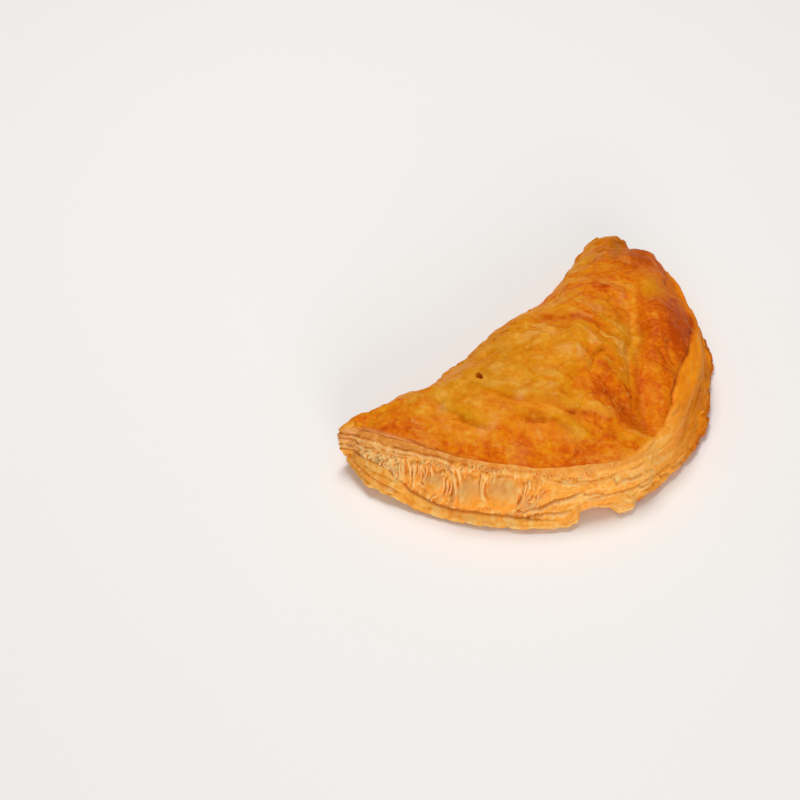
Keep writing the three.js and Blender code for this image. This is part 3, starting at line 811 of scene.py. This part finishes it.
FANS = [((0.872, 9.0), (0.892, 10.6), (0.876, 17.8), (0.894, 17.6), 7, 0.22, 1.5, 0.9),
        ((0.826, 5.6), (0.850, 6.6), (0.812, 14.6), (0.836, 16.4), 9, 0.2, 1.1, 1.2),
        ((0.741, 6.6), (0.722, 8.4), (0.722, 16.2), (0.698, 14.8), 11, 0.15, 1.2, 1.3),
        ((0.846, 14.4), (0.868, 13.8), (0.852, 19.0), (0.874, 18.8), 6, 0.2, 1.2, 0.6),
        ((0.8190, 21.6), (0.8215, 21.6), (0.8125, 7.4), (0.8150, 8), 3, 0.42, 2.2, -1.4),
        ((0.7735, 20.4), (0.7765, 20.2), (0.7755, 9.6), (0.7785, 10), 3, 0.4, 1.8, 0.9),
        ((0.762, 7.6), (0.744, 7.4), (0.759, 14.0), (0.741, 16.0), 5, 0.16, 0.7, 0.4),
        ((0.890, 10.4), (0.902, 11.6), (0.896, 15.2), (0.904, 16.0), 5, 0.22, 1.4, 0.5)]
BOW_STEPS = 5
LOOSE = (0.003, 1.6)  # how far a strand's ends stray from their place in the fan
STRAND_REACH = 9  # how far from its middle a strand is looked for

strand_chance = np.random.default_rng(7)
shaken = along + np.column_stack([1.5 * flat_noise(along, (7, 7), seed, 3) for seed in (30, 33)])
trembling = along + np.column_stack([0.35 * flat_noise(along, (4, 4), seed) for seed in (36, 39)])


def ovals(places):
    """For each oval: distance from its middle, 1 on its rim, the way up it, and its strength."""
    for place, middle, half_width, half_height, strength in places:
        across = (shaken[:, 0] - place * EDGE_LENGTH) / half_width
        upward = (shaken[:, 1] - middle) / half_height
        yield rounded_ring(across, upward), upward, strength


def strand_ridge(foot, head, width, bow):
    """Height from 0 to 1 of a bowed strand from foot to head, thicker where it is rooted."""
    start = np.array((foot[0] * EDGE_LENGTH, foot[1]))
    finish = np.array((head[0] * EDGE_LENGTH, head[1]))
    sideways = np.array((start[1] - finish[1], finish[0] - start[0])) / np.linalg.norm(finish - start)
    steps = np.linspace(0, 1, BOW_STEPS)[:, None]
    spine = start + (finish - start) * steps + sideways * bow * np.sin(math.pi * steps)
    near = np.flatnonzero(np.abs(trembling - (start + finish) / 2).max(axis=1) < STRAND_REACH)
    distance, part = line_side(trembling[near], spine)
    girth = width * (1 + 1.6 * np.abs(2 * part - 1) ** 3)
    ridge = np.zeros(len(trembling))
    ridge[near] = np.sqrt(np.clip(1 - (distance / (1.5 * girth)) ** 2, 0, 1))
    return ridge


def in_fan(first, last, part):
    """A strand's end between the first and the last of a fan, strayed a little."""
    return np.array(first) + part * (np.array(last) - first) + strand_chance.uniform(-1, 1, 2) * LOOSE


pillow = np.zeros(len(height))
thin_and_shaded = np.zeros(len(height))
taut_and_lit = np.zeros(len(height))
# Each membrane's upper part is painted grey-tan, thin dough in painted shade, and its lower part bright
# orange, a painted highlight.
for ring, upward, bulge in ovals(MEMBRANES):
    inside = np.clip(1 - ring**2, 0, 1) ** 0.7
    pillow = np.maximum(pillow, bulge * inside * (1 - 0.5 * upward))
    spread = smooth(bulge, 0.9, 2.0) * smooth(inside, 0.1, 0.8)
    thin_and_shaded = np.maximum(thin_and_shaded, spread * smooth(upward, -0.4, 0.5))
    taut_and_lit = np.maximum(taut_and_lit, spread * smooth(-upward, -0.3, 0.5))
pocket = np.zeros(len(height))
for ring, _, fall in ovals(POCKETS):
    pocket = np.maximum(pocket, fall * (1 - smooth(ring, 0.4, 1.1)))
strands = np.zeros(len(height))
for foot_start, foot_end, head_start, head_end, count, width, rise, bow in FANS:
    for k in range(count):
        part = (k + strand_chance.uniform(-0.35, 0.35)) / (count - 1)
        foot = in_fan(foot_start, foot_end, part)
        head = in_fan(head_start, head_end, part)
        strand_width = width * strand_chance.uniform(0.6, 1.3)
        strand_bow = bow * strand_chance.uniform(0.3, 1.4)
        ridge = strand_ridge(foot, head, strand_width, strand_bow)
        strands = np.maximum(strands, rise * strand_chance.uniform(0.6, 1.2) * ridge)

# %% Tear the leaves into webs, lace and crumbs
LACE = (0.904, 0.958)
TORN = (0.67 * EDGE_LENGTH, 0.9 * EDGE_LENGTH)
SLANTED = [[1, 0.35], [-0.35, 1]]

fibres = (1 - np.abs(flat_noise(shaken, (2.2, 8), 87, 1))) ** 4
fibres = np.maximum(fibres, 0.8 * (1 - np.abs(flat_noise(shaken @ SLANTED, (2.6, 7), 88, 1))) ** 5)
membrane_lines = 0.14 * flat_noise(shaken, (0.8, 8), 89, 2) + 0.25 * flat_noise(shaken, (3, 7), 90, 1)
torn = np.maximum(fibres - 1.0, pillow - 0.6 + membrane_lines) - pocket
torn = np.maximum(torn, strands - 0.7) + 0.2 * strands
near, second = cells(trembling / (1.1, 0.9), 37)
foam = -0.9 + 1.1 * (1 - smooth(second - near, 0.08, 0.5)) + 0.5 * flat_noise(along, (4, 2), 38)
in_foam = smooth(height - torn_top, -3.0, -1.6) * smooth(flat_noise(along, (6, 3), 93), -0.15, 0.2)
torn += (foam - torn) * in_foam
crumbs = scattered_flakes(70, 91, TORN, (4, 22), (0.25, 0.6), (0.4, 1.2), 0.7, (-0.6, 0.8), (-0.4, 0.4))
crumb_level, _, _ = lay_flakes(trembling, crumbs)
torn = np.maximum(torn, crumb_level)
in_lace = smooth(share, LACE[0] - 0.012, LACE[0]) * (1 - smooth(share, LACE[1], LACE[1] + 0.01))
lace_webs = (1 - np.abs(flat_noise(shaken, (2.6, 2.2), 34, 1))) ** 7
lace_webs = np.maximum(lace_webs, (1 - np.abs(flat_noise(shaken @ SLANTED, (3.0, 1.8), 35, 1))) ** 7)
lace = 0.6 * flat_noise(along, (4, 3), 92) - 0.8 + 2.2 * lace_webs
torn = torn * (1 - in_lace) + lace * in_lace
out += torn_zone * torn

# %% Lay the closed leaves
# Each leaf ends at a line of stations (share, height) and stands out below it by its step.
LEAVES = [([(0.64, 12.6), (0.675, 10.6), (0.71, 7.4), (0.748, 4.4)], 1.1, 5),
          ([(0.655, 7.0), (0.69, 5.6), (0.735, 3.2)], 0.8, 5),
          ([(0.53, 7.0), (0.57, 8.2), (0.61, 9.0), (0.65, 8.4)], 0.6, 5),
          ([(0.54, 15.8), (0.59, 15.4), (0.62, 15.4), (0.66, 16.2), (0.7, 18.6)], 0.4, 5),
          ([(0.885, 3.0), (0.91, 4.2), (0.95, 4.8), (0.985, 5)], 1.4, 2.5),
          ([(0.89, 7.4), (0.92, 8.6), (0.96, 8.2)], 0.7, 1.6),
          ([(0.79, 21.4), (0.83, 22.2), (0.87, 21.6), (0.93, 19.0), (1.03, 14.5)], 0.9, 1.6),
          ([(0.93, 16.8), (0.96, 15.6), (1.03, 12.4)], 0.8, 1.6),
          ([(0.955, 12.6), (0.985, 11.4), (1.03, 9.4)], 0.5, 1.6),
          ([(0.965, 9.6), (0.985, 8.8), (1.03, 7.4)], 0.5, 1.6)]

toast = np.zeros(len(height))
walk_only = along * (1, 0)
for index, (line, step, fade) in enumerate(LEAVES):
    first, last = line[0][0], line[-1][0]
    waver = 0.5 * flat_noise(walk_only, (9, 1), 50 + index)
    waver += 0.25 * flat_noise(walk_only, (1.6, 1), 70 + index)
    drop = at_station(line, share) + waver - height
    inside = smooth(share, first, first + 0.02) * (1 - smooth(share, last - 0.02, last))
    out += step * inside * smooth(drop, -0.08, 0.15) * np.exp(-np.maximum(drop, 0) / fade) * on_wall
    out -= 0.4 * step * inside * np.exp(-(((drop + 0.35) / 0.3) ** 2)) * on_wall
    toast = np.maximum(toast, inside * np.exp(-((drop / 0.35) ** 2)))

# %% Lay flakes on the strip
CLOSED = (0.49 * EDGE_LENGTH, 0.74 * EDGE_LENGTH)
WHOLE = (0.49 * EDGE_LENGTH, 1.02 * EDGE_LENGTH)
LEFT = (0.78 * EDGE_LENGTH, 1.03 * EDGE_LENGTH)
LENSES = [(0.578, 13.6, 6.0, 2.0, 0.9), (0.548, 8.0, 4.5, 1.6, 0.6), (0.628, 11.4, 4.0, 1.4, 0.5)]

closed = 1 - opened
panels = scattered_flakes(24, 95, CLOSED, (1, 19), (6, 14), (2.2, 5.0), 0.3, (0.1, 0.6), (0.0, 0.3))
panels += scattered_flakes(16, 96, CLOSED, (0.5, 19), (1.5, 4), (0.5, 1.2), 0.5, (0.2, 0.8), (0.0, 0.4))
panel_level, panel_tone, panel_border = lay_flakes(shaken, panels, 0.0)
for ring, _, fall in ovals(LENSES):
    within = 1 - smooth(ring, 0.85, 1.05)
    panel_level -= (panel_level + fall * (1 - 0.6 * ring**2)) * within
    panel_tone += (0.85 - panel_tone) * within
    panel_border = np.maximum(panel_border * (1 - within), np.exp(-(((ring - 0.97) / 0.1) ** 2)))
edge_flakes = scattered_flakes(120, 97, WHOLE, (0.3, 2.2), (1, 5), (0.4, 0.9), 0.12, (0.0, 0.8), (-0.2, 0.4))
edge_level, edge_tone, edge_border = lay_flakes(trembling, edge_flakes, 0.0)
stripes = scattered_flakes(40, 98, LEFT, (3, 22), (4, 9), (0.4, 0.8), 0.05, (0.0, 0.5), (0.0, 0.3))
stripe_level, _, stripe_border = lay_flakes(shaken, stripes, 0.0)
striped = smooth(share, 0.76, 0.8) * np.maximum(smooth(height - torn_top, 0, 0.5), smooth(share, 0.96, 0.985))
striped *= smooth(height - sheet_top, -0.4, 0.4)

# %% Crumple and fray the strip
crumple = 0.35 * flat_noise(along, (8, 5), 42, 2) - 0.2 * (1 - np.abs(flat_noise(shaken, (7, 4), 43, 1))) ** 5
near, second = cells(shaken / (1.1, 0.9), 36)
pits = smooth(second - near, 0.1, 0.5) * smooth(flat_noise(along, (5, 3), 93), 0.0, 0.35)
pits *= smooth(share, 0.57, 0.6) * (1 - smooth(share, 0.7, 0.76))
pits *= smooth(up, 0.72, 0.8) * (1 - smooth(up, 0.9, 0.96))
fray = flat_noise(along * (1, 0.4), (6, 4), 44, 3) + 0.3 * flat_noise(along, (1.4, 1.2), 45, 1)
low_edge = 1 - smooth(height, 1.6, 3.4)
out += on_wall * (crumple * (0.35 + 0.65 * closed) - 0.6 * pits + 0.6 * low_edge * fray)
out += on_wall * (closed * panel_level + low_edge * edge_level + striped * stripe_level)
# Painted shade in the strip's hollows and a painted highlight on its crests follow how far each point lies
# below or above its neighbours.
crevice_shade = blurred(out, 5) - out

# %% Set the strip in place
TIP_TUCK = 4.5  # how far the strip is pushed in where it ends on the fold
START_TUCK = 3.0  # and where it begins
LIP_TUCK = 4.5  # and behind the lip, where it also drops
TUCK_DROP = 2
HEM_RISE = 0.9  # how far the frayed hem lifts off the floor

past_tip = np.maximum(column_walk[column] - EDGE_LENGTH, 0)
ragged_share = share + 0.012 * flat_noise(along, (7, 4), 99)
out -= TIP_TUCK * smooth(past_tip, 0, TIP_WRAP)
out -= START_TUCK * (1 - smooth(ragged_share, STRIP_FROM, STRIP_FULL))
under = np.clip(1 - row / (UNDER_ROWS - 1), 0, 1)
tuck = np.clip((row - UNDER_ROWS - WALL_ROWS + 1) / TUCK_ROWS, 0, 1)
out -= UNDER_REACH * under + (out + LIP_TUCK) * tuck
curl = at_station(BASE_LIFTS, share) * (1 - smooth(up, 0.1, 0.45)) * (1 - under)
hem = smooth(flat_noise(walk_only, (2.6, 1), 56, 3), -0.1, 0.5) * (1 - smooth(height, 0, 2.5)) * (1 - under)
strip = np.column_stack((
    column_base[column] + column_out[column] * (out - inset)[:, None],
    np.maximum(height + curl + HEM_RISE * hem - TUCK_DROP * tuck, GROUND_GAP),
))
set_mesh_points(edge.data, strip)

# %% Close the strip behind
border_rows = (0, rows - 1)
bpy.ops.object.mode_set(mode="EDIT")
bpy.ops.mesh.select_mode(type="EDGE")
bpy.ops.mesh.select_all(action="DESELECT")
bpy.ops.object.mode_set(mode="OBJECT")
for long_edge in edge.data.edges:
    ends = [row[k] for k in long_edge.vertices]
    long_edge.select = bool(ends[0] == ends[1] and ends[0] in border_rows)
bpy.ops.object.mode_set(mode="EDIT")
bpy.ops.mesh.bridge_edge_loops()
bpy.ops.mesh.select_all(action="SELECT")
bpy.ops.mesh.fill_holes(sides=0)
bpy.ops.mesh.normals_make_consistent(inside=False)
bpy.ops.object.mode_set(mode="OBJECT")
bpy.ops.object.shade_smooth()
print("faces in the cut edge:", len(edge.data.polygons))

# %% Paint the strip
blotch = 0.5 + 0.6 * flat_noise(along, (5, 3), 47)
tone = (0.3 + 0.45 * panel_tone) * closed + opened * (0.5 + 0.5 * flat_noise(shaken, (2.4, 4), 94))
leaf_edges = np.maximum(closed * panel_border, striped * stripe_border) + low_edge * edge_border
on_sheet = (1 - smooth(height - sheet_top, -0.3, 0.1)) * opened
edge_paints = {
    "tone": tone + 0.2 * (edge_tone - 0.5) * low_edge,
    "crevice_shade": smooth(crevice_shade, 0.05, 0.6) * (1 - 0.4 * in_lace),
    "crest_highlight": smooth(-crevice_shade, 0.04, 0.4) * (1 - 0.8 * on_sheet),
    # Painted shade: the torn leaves are darker where they lie deeper.
    "deep_shade": torn_zone * smooth(-torn, 0.4, 2.2),
    "thin_and_shaded": torn_zone * (1 - in_lace) * thin_and_shaded,
    "taut_and_lit": torn_zone * (1 - in_lace) * taut_and_lit,
    "sheet": on_sheet,
    "seam": np.exp(-(((height - sheet_top - 0.1) / 0.22) ** 2)) * opened,
    "striped": striped,
    "toast": np.maximum(toast, 0.8 * leaf_edges) * blotch,
    "lace": in_lace * torn_zone * np.sqrt(lace_webs),
    "singed": 1 - smooth(height, 0.3, 1.8 + flat_noise(walk_only, (5, 1), 49)),
    # Painted shade: the strip is darker just below the lip, where the lip shades it.
    "under_lip_shade": 1 - smooth(wall - height, LIP_OVERLAP, LIP_OVERLAP + 1.2),
}
for name, values in edge_paints.items():
    paint(edge.data, name, values)
print("paints on the cut edge:", len(edge_paints))

# %% [markdown]
# ## Finishes
# Each finish is named for what it is. Colours are written as they look on a screen and turned to linear
# light by one function, and pattern sizes are in millimetres.

# %% Material helpers
def linear(hex_colour):
    """Linear light of an sRGB hex colour, with full opacity."""
    parts = [int(hex_colour[k:k + 2], 16) / 255 for k in (1, 3, 5)]
    return [p / 12.92 if p <= 0.04045 else ((p + 0.055) / 1.055) ** 2.4 for p in parts] + [1]


def add_node(tree, kind, settings=None, inputs=None):
    """Adds a node, sets its properties, and fills its sockets with values or links."""
    node = tree.nodes.new(kind)
    for name, value in (settings or {}).items():
        setattr(node, name, value)
    for socket, value in (inputs or {}).items():
        if isinstance(value, bpy.types.NodeSocket):
            tree.links.new(value, node.inputs[socket])
        else:
            node.inputs[socket].default_value = value
    return node


def painted(tree, name):
    """The number that was painted on the mesh under a name."""
    return add_node(tree, "ShaderNodeAttribute", {"attribute_name": name}).outputs["Fac"]


def grain(tree, size_mm, detail=2.0, stretch=(1, 1, 1), turn=0.0, distortion=0.0):
    """Noise on the pie's own coordinates, stretched along axes turned about the upright."""
    place = add_node(tree, "ShaderNodeTexCoord").outputs["Object"]
    mapping = {"Vector": place, "Rotation": (0, 0, turn), "Scale": stretch}
    mapped = add_node(tree, "ShaderNodeMapping", {"vector_type": "TEXTURE"}, mapping).outputs["Vector"]
    inputs = {"Vector": mapped, "Scale": 1 / (size_mm * MM), "Detail": detail, "Distortion": distortion}
    return add_node(tree, "ShaderNodeTexNoise", inputs=inputs).outputs["Fac"]


def calculate(tree, operation, first, second):
    """The result of an operation on two numbers or sockets."""
    return add_node(tree, "ShaderNodeMath", {"operation": operation}, {0: first, 1: second}).outputs[0]


def between(tree, share, first, second):
    """Number between first and second, by a share from 0 to 1."""
    return add_node(tree, "ShaderNodeMix", inputs={0: share, 2: first, 3: second}).outputs[0]


def mixed(tree, share, first, second):
    """Colour between first and second, by a share from 0 to 1."""
    inputs = {0: share, 6: first, 7: second}
    return add_node(tree, "ShaderNodeMix", {"data_type": "RGBA"}, inputs).outputs[2]


def beyond(tree, value, low, high):
    """0 below low, 1 above high."""
    inputs = {"Value": value, "From Min": low, "From Max": high}
    settings = {"interpolation_type": "SMOOTHSTEP"}
    return add_node(tree, "ShaderNodeMapRange", settings, inputs).outputs["Result"]


def stirred_in(tree, value, pattern, strength):
    """The value with a pattern added that is centred on one half."""
    centred = calculate(tree, "SUBTRACT", pattern, 0.5)
    return calculate(tree, "ADD", value, calculate(tree, "MULTIPLY", centred, strength))


def ramp(tree, value, stops):
    """Colours along a value, as (place, hex colour) stops."""
    node = add_node(tree, "ShaderNodeValToRGB", inputs={"Fac": value})
    elements = node.color_ramp.elements
    while len(elements) < len(stops):
        elements.new(0.5)
    for element, (place, colour) in zip(elements, stops):
        element.position = place
        element.color = linear(colour)
    return node.outputs["Color"]


def new_material(name):
    """A new material, its node tree and its shader."""
    material = bpy.data.materials.new(name)
    material.use_nodes = True
    tree = material.node_tree
    return material, tree, tree.nodes["Principled BSDF"]


def tint(tree, colour, share, strength, hex_colour):
    """Mixes a colour in by a share, which is a socket or the name of a paint."""
    share = painted(tree, share) if isinstance(share, str) else share
    return mixed(tree, calculate(tree, "MULTIPLY", share, strength), colour, linear(hex_colour))


def set_dough(shader, roughness, gloss, glow, depth_mm):
    """Settings that all baked dough shares: gloss, and light that spreads under the surface, red furthest."""
    shader.inputs["Roughness"].default_value = roughness
    shader.inputs["Specular IOR Level"].default_value = gloss
    shader.inputs["Subsurface Weight"].default_value = glow
    shader.inputs["Subsurface Radius"].default_value = [depth_mm * MM * part for part in (1, 0.45, 0.15)]
    shader.inputs["Subsurface Scale"].default_value = 1.0


def roughen(tree, shader, size_mm, detail, strength, depth_mm):
    """Bumps the surface with fine grain."""
    inputs = {"Height": grain(tree, size_mm, detail), "Strength": strength, "Distance": depth_mm * MM}
    bump = add_node(tree, "ShaderNodeBump", inputs=inputs)
    tree.links.new(bump.outputs["Normal"], shader.inputs["Normal"])


# %% Egg-washed crust
DOME_TURN = math.atan2(DOME_GRAIN[1], DOME_GRAIN[0])
LOBE_TURN = math.atan2(LOBE_GRAIN[1], LOBE_GRAIN[0])


def egg_washed_crust():
    """Puff pastry washed with egg and browned: a soft sheen over orange gold, redder where it puffed most,
    with painted shade in its creases, slit and folds and painted highlights.
    """
    material, tree, shader = new_material("egg_washed_puff_pastry")
    dome_feathers = grain(tree, 4.2, 6, (1.2, 1, 1), DOME_TURN, 0.9)
    lobe_feathers = stirred_in(tree, 0.5, grain(tree, 2.0, 5, (3.4, 1, 1), LOBE_TURN, 0.3), 0.4)
    feathers = between(tree, painted(tree, "in_lobe"), dome_feathers, lobe_feathers)
    # The browning also carries the painted shade below the back step and the flank ridge.
    browning = stirred_in(tree, painted(tree, "browning_and_shade"), feathers, 1.0)
    browning = stirred_in(tree, browning, grain(tree, 1.4, 4, (1.15, 1, 1), DOME_TURN, 0.4), 0.8)
    stops = [(0.0, "#f0a632"), (0.25, "#e69012"), (0.5, "#e27c0a"), (0.75, "#d66006"), (1.0, "#ba4602")]
    colour = ramp(tree, browning, stops)
    colour = tint(tree, colour, "golden", 0.55, "#c67c00")
    # Painted shade in the creases, then painted shade and a painted highlight beside the long furrows.
    colour = tint(tree, colour, "crease_shade", 0.42, "#a84a06")
    colour = tint(tree, colour, "fold_shade", 0.35, "#c88c08")
    colour = tint(tree, colour, "fold_highlight", 0.3, "#f2982c")
    flecks = beyond(tree, grain(tree, 1.8, 4, (1.2, 1, 1), DOME_TURN, 0.5), 0.57, 0.74)
    colour = tint(tree, colour, flecks, 0.3, "#f2b04c")
    specks = beyond(tree, grain(tree, 0.8, 2), 0.66, 0.76)
    colour = tint(tree, colour, specks, 0.35, "#a84c04")
    # Pale flakes and painted highlights, then painted shade inside the steam slit.
    colour = tint(tree, colour, "pale_and_highlight", 0.65, "#f6c074")
    colour = tint(tree, colour, "vent_shade", 0.4, "#c06414")
    bare_tone = stirred_in(tree, painted(tree, "bare_tone"), grain(tree, 1.6, 4), 0.8)
    bare = ramp(tree, bare_tone, [(0.1, "#f08408"), (0.5, "#fc9616"), (0.9, "#ffac38")])
    pale_bare = ramp(tree, bare_tone, [(0.1, "#f2942e"), (0.5, "#ffae46"), (0.9, "#ffcc78")])
    bare = mixed(tree, painted(tree, "bare_pale"), bare, pale_bare)
    bare = tint(tree, bare, "bare_edge", 0.35, "#b3600f")
    bare = tint(tree, bare, "bare_brown", 0.75, "#c4580a")
    colour = mixed(tree, painted(tree, "bare"), colour, bare)
    colour = tint(tree, colour, "rim_line", 0.45, "#a85414")
    lip_grain = stirred_in(tree, painted(tree, "lip_tone"), grain(tree, 0.9, 4, (1, 1, 2)), 0.5)
    brown_lip = ramp(tree, lip_grain, [(0.2, "#c06414"), (0.8, "#e08a2e")])
    tan_lip = ramp(tree, lip_grain, [(0.2, "#cc7a3e"), (0.5, "#ea9850"), (0.8, "#fab470")])
    lip = mixed(tree, painted(tree, "lip_pale"), brown_lip, tan_lip)
    colour = mixed(tree, calculate(tree, "MULTIPLY", painted(tree, "lip"), 0.85), colour, lip)
    tree.links.new(colour, shader.inputs["Base Color"])
    roughen(tree, shader, 0.7, 4, 0.3, 0.2)
    set_dough(shader, roughness=0.45, gloss=0.04, glow=0.04, depth_mm=0.8)
    return material


crust.data.materials.clear()
crust.data.materials.append(egg_washed_crust())


# %% Cut leaves
def cut_leaves():
    """Bare pastry leaves: dry, pale and a little see-through, browner along their edges, with painted shade
    in hollows and under the lip and painted highlights on crests.
    """
    material, tree, shader = new_material("cut_puff_pastry_leaves")
    tone = stirred_in(tree, painted(tree, "tone"), grain(tree, 1.6, 5), 1.2)
    colour = ramp(tree, tone, [(0.1, "#f2942e"), (0.5, "#ffae46"), (0.9, "#ffcc78")])
    # Painted shade on the membranes' upper parts and in the deep torn places, and a painted highlight on
    # their lower parts.
    colour = tint(tree, colour, "thin_and_shaded", 0.6, "#d29a5c")
    colour = tint(tree, colour, "taut_and_lit", 0.6, "#ff9e2a")
    colour = tint(tree, colour, "deep_shade", 0.65, "#c06a18")
    sheet = ramp(tree, tone, [(0.1, "#f4982a"), (0.5, "#ffb64c"), (0.9, "#ffcc7a")])
    colour = mixed(tree, painted(tree, "sheet"), colour, sheet)
    bands = ramp(tree, tone, [(0.1, "#d88430"), (0.5, "#f2a448"), (0.9, "#ffc478")])
    colour = mixed(tree, calculate(tree, "MULTIPLY", painted(tree, "striped"), 0.8), colour, bands)
    # A painted highlight on the crests and painted shade in the hollows.
    colour = tint(tree, colour, "crest_highlight", 0.65, "#ffd694")
    colour = tint(tree, colour, "crevice_shade", 0.55, "#be640e")
    colour = tint(tree, colour, "lace", 0.75, "#ffd892")
    colour = tint(tree, colour, "toast", 0.3, "#c06c1e")
    colour = tint(tree, colour, "seam", 0.6, "#98501a")
    colour = tint(tree, colour, "singed", 0.25, "#d07a20")
    # Painted shade below the lip.
    colour = tint(tree, colour, "under_lip_shade", 0.4, "#d8802c")
    tree.links.new(colour, shader.inputs["Base Color"])
    roughen(tree, shader, 0.6, 3, 0.2, 0.15)
    set_dough(shader, roughness=0.5, gloss=0.1, glow=0.22, depth_mm=0.9)
    return material


edge.data.materials.append(cut_leaves())

# %% [markdown]
# ## Floor, light and camera
# A pale floor throws warm light back onto the underside of the leaves. One wide soft light hangs above
# the pie, a little behind it, so that the cut edge throws a soft shadow forward. A second one stands low in
# front to lift the cut edge, and the pale world fills the shadows.

# %% Floor
FLOOR_SIZE = 6  # in metres

bpy.ops.mesh.primitive_plane_add(size=FLOOR_SIZE, location=(0, 0, 0))
floor = bpy.context.object
floor.name = "floor"
floor_material, _, floor_shader = new_material("pale_matt_floor")
floor_shader.inputs["Base Color"].default_value = linear("#f9f7f4")
floor_shader.inputs["Roughness"].default_value = 0.7
floor_shader.inputs["Specular IOR Level"].default_value = 0.2
floor.data.materials.append(floor_material)


# %% Light
WORLD_LIGHT = 0.27
AIM = Vector((0, 0, 0.015))  # in metres, the middle of the pie


def softbox(name, place, size, power):
    """A round soft light, with its place and size in metres and its power in watts."""
    bpy.ops.object.light_add(type="AREA", location=place)
    light = bpy.context.object
    light.name = name
    light.data.shape = "DISK"
    light.data.size = size
    light.data.energy = power
    light.rotation_euler = (AIM - Vector(place)).to_track_quat("-Z", "Y").to_euler()


softbox("overhead_softbox", (0.1, 0.26, 0.95), 0.5, 6.0)
softbox("front_fill", (-0.62, -0.78, 0.28), 0.6, 4.7)
world = bpy.data.worlds.new("pale_studio")
world.use_nodes = True
world.node_tree.nodes["Background"].inputs["Color"].default_value = (1, 1, 1, 1)
world.node_tree.nodes["Background"].inputs["Strength"].default_value = WORLD_LIGHT
bpy.context.scene.world = world
bpy.context.scene.view_settings.view_transform = "Standard"

# %% Camera
# The lens and the place of the tip line's middle in the picture are given in pixels of an 800-pixel frame.
CAMERA_AZIMUTH = math.radians(-46.9)
CAMERA_ELEVATION = math.radians(43.0)
CAMERA_DISTANCE = 0.73125  # in metres, from the middle of the tip line
FOCAL_PIXELS = 2044.0
FRAME_PIXELS = 800
SENSOR_WIDTH = 36
TIP_LINE_PIXEL = (486.8, 359.6)
CLIP = (0.01, 20)  # nearest and furthest that is drawn, in metres

back = Vector((
    math.sin(CAMERA_AZIMUTH) * math.cos(CAMERA_ELEVATION),
    -math.cos(CAMERA_AZIMUTH) * math.cos(CAMERA_ELEVATION),
    math.sin(CAMERA_ELEVATION),
))
right = Vector((math.cos(CAMERA_AZIMUTH), math.sin(CAMERA_AZIMUTH), 0))
above = back.cross(right)
off_right = TIP_LINE_PIXEL[0] - FRAME_PIXELS / 2
off_up = FRAME_PIXELS / 2 - TIP_LINE_PIXEL[1]
ahead = (-back * FOCAL_PIXELS - right * off_right - above * off_up).normalized()
level_right = (right - ahead * right.dot(ahead)).normalized()
upright = level_right.cross(ahead)
bpy.ops.object.camera_add()
camera = bpy.context.object
camera.data.sensor_width = SENSOR_WIDTH
camera.data.lens = SENSOR_WIDTH * FOCAL_PIXELS / FRAME_PIXELS
camera.data.clip_start = CLIP[0]
camera.data.clip_end = CLIP[1]
spot = Vector(PLAN_ORIGIN) * MM + back * CAMERA_DISTANCE
camera.matrix_world = Matrix.Translation(spot) @ Matrix((level_right, upright, -ahead)).transposed().to_4x4()
bpy.context.scene.camera = camera
print("lens in mm:", round(camera.data.lens, 1))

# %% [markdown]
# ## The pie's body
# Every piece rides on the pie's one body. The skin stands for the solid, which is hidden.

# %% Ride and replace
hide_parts("meat_pie")
for piece in (crust, edge):
    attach(piece, "root")
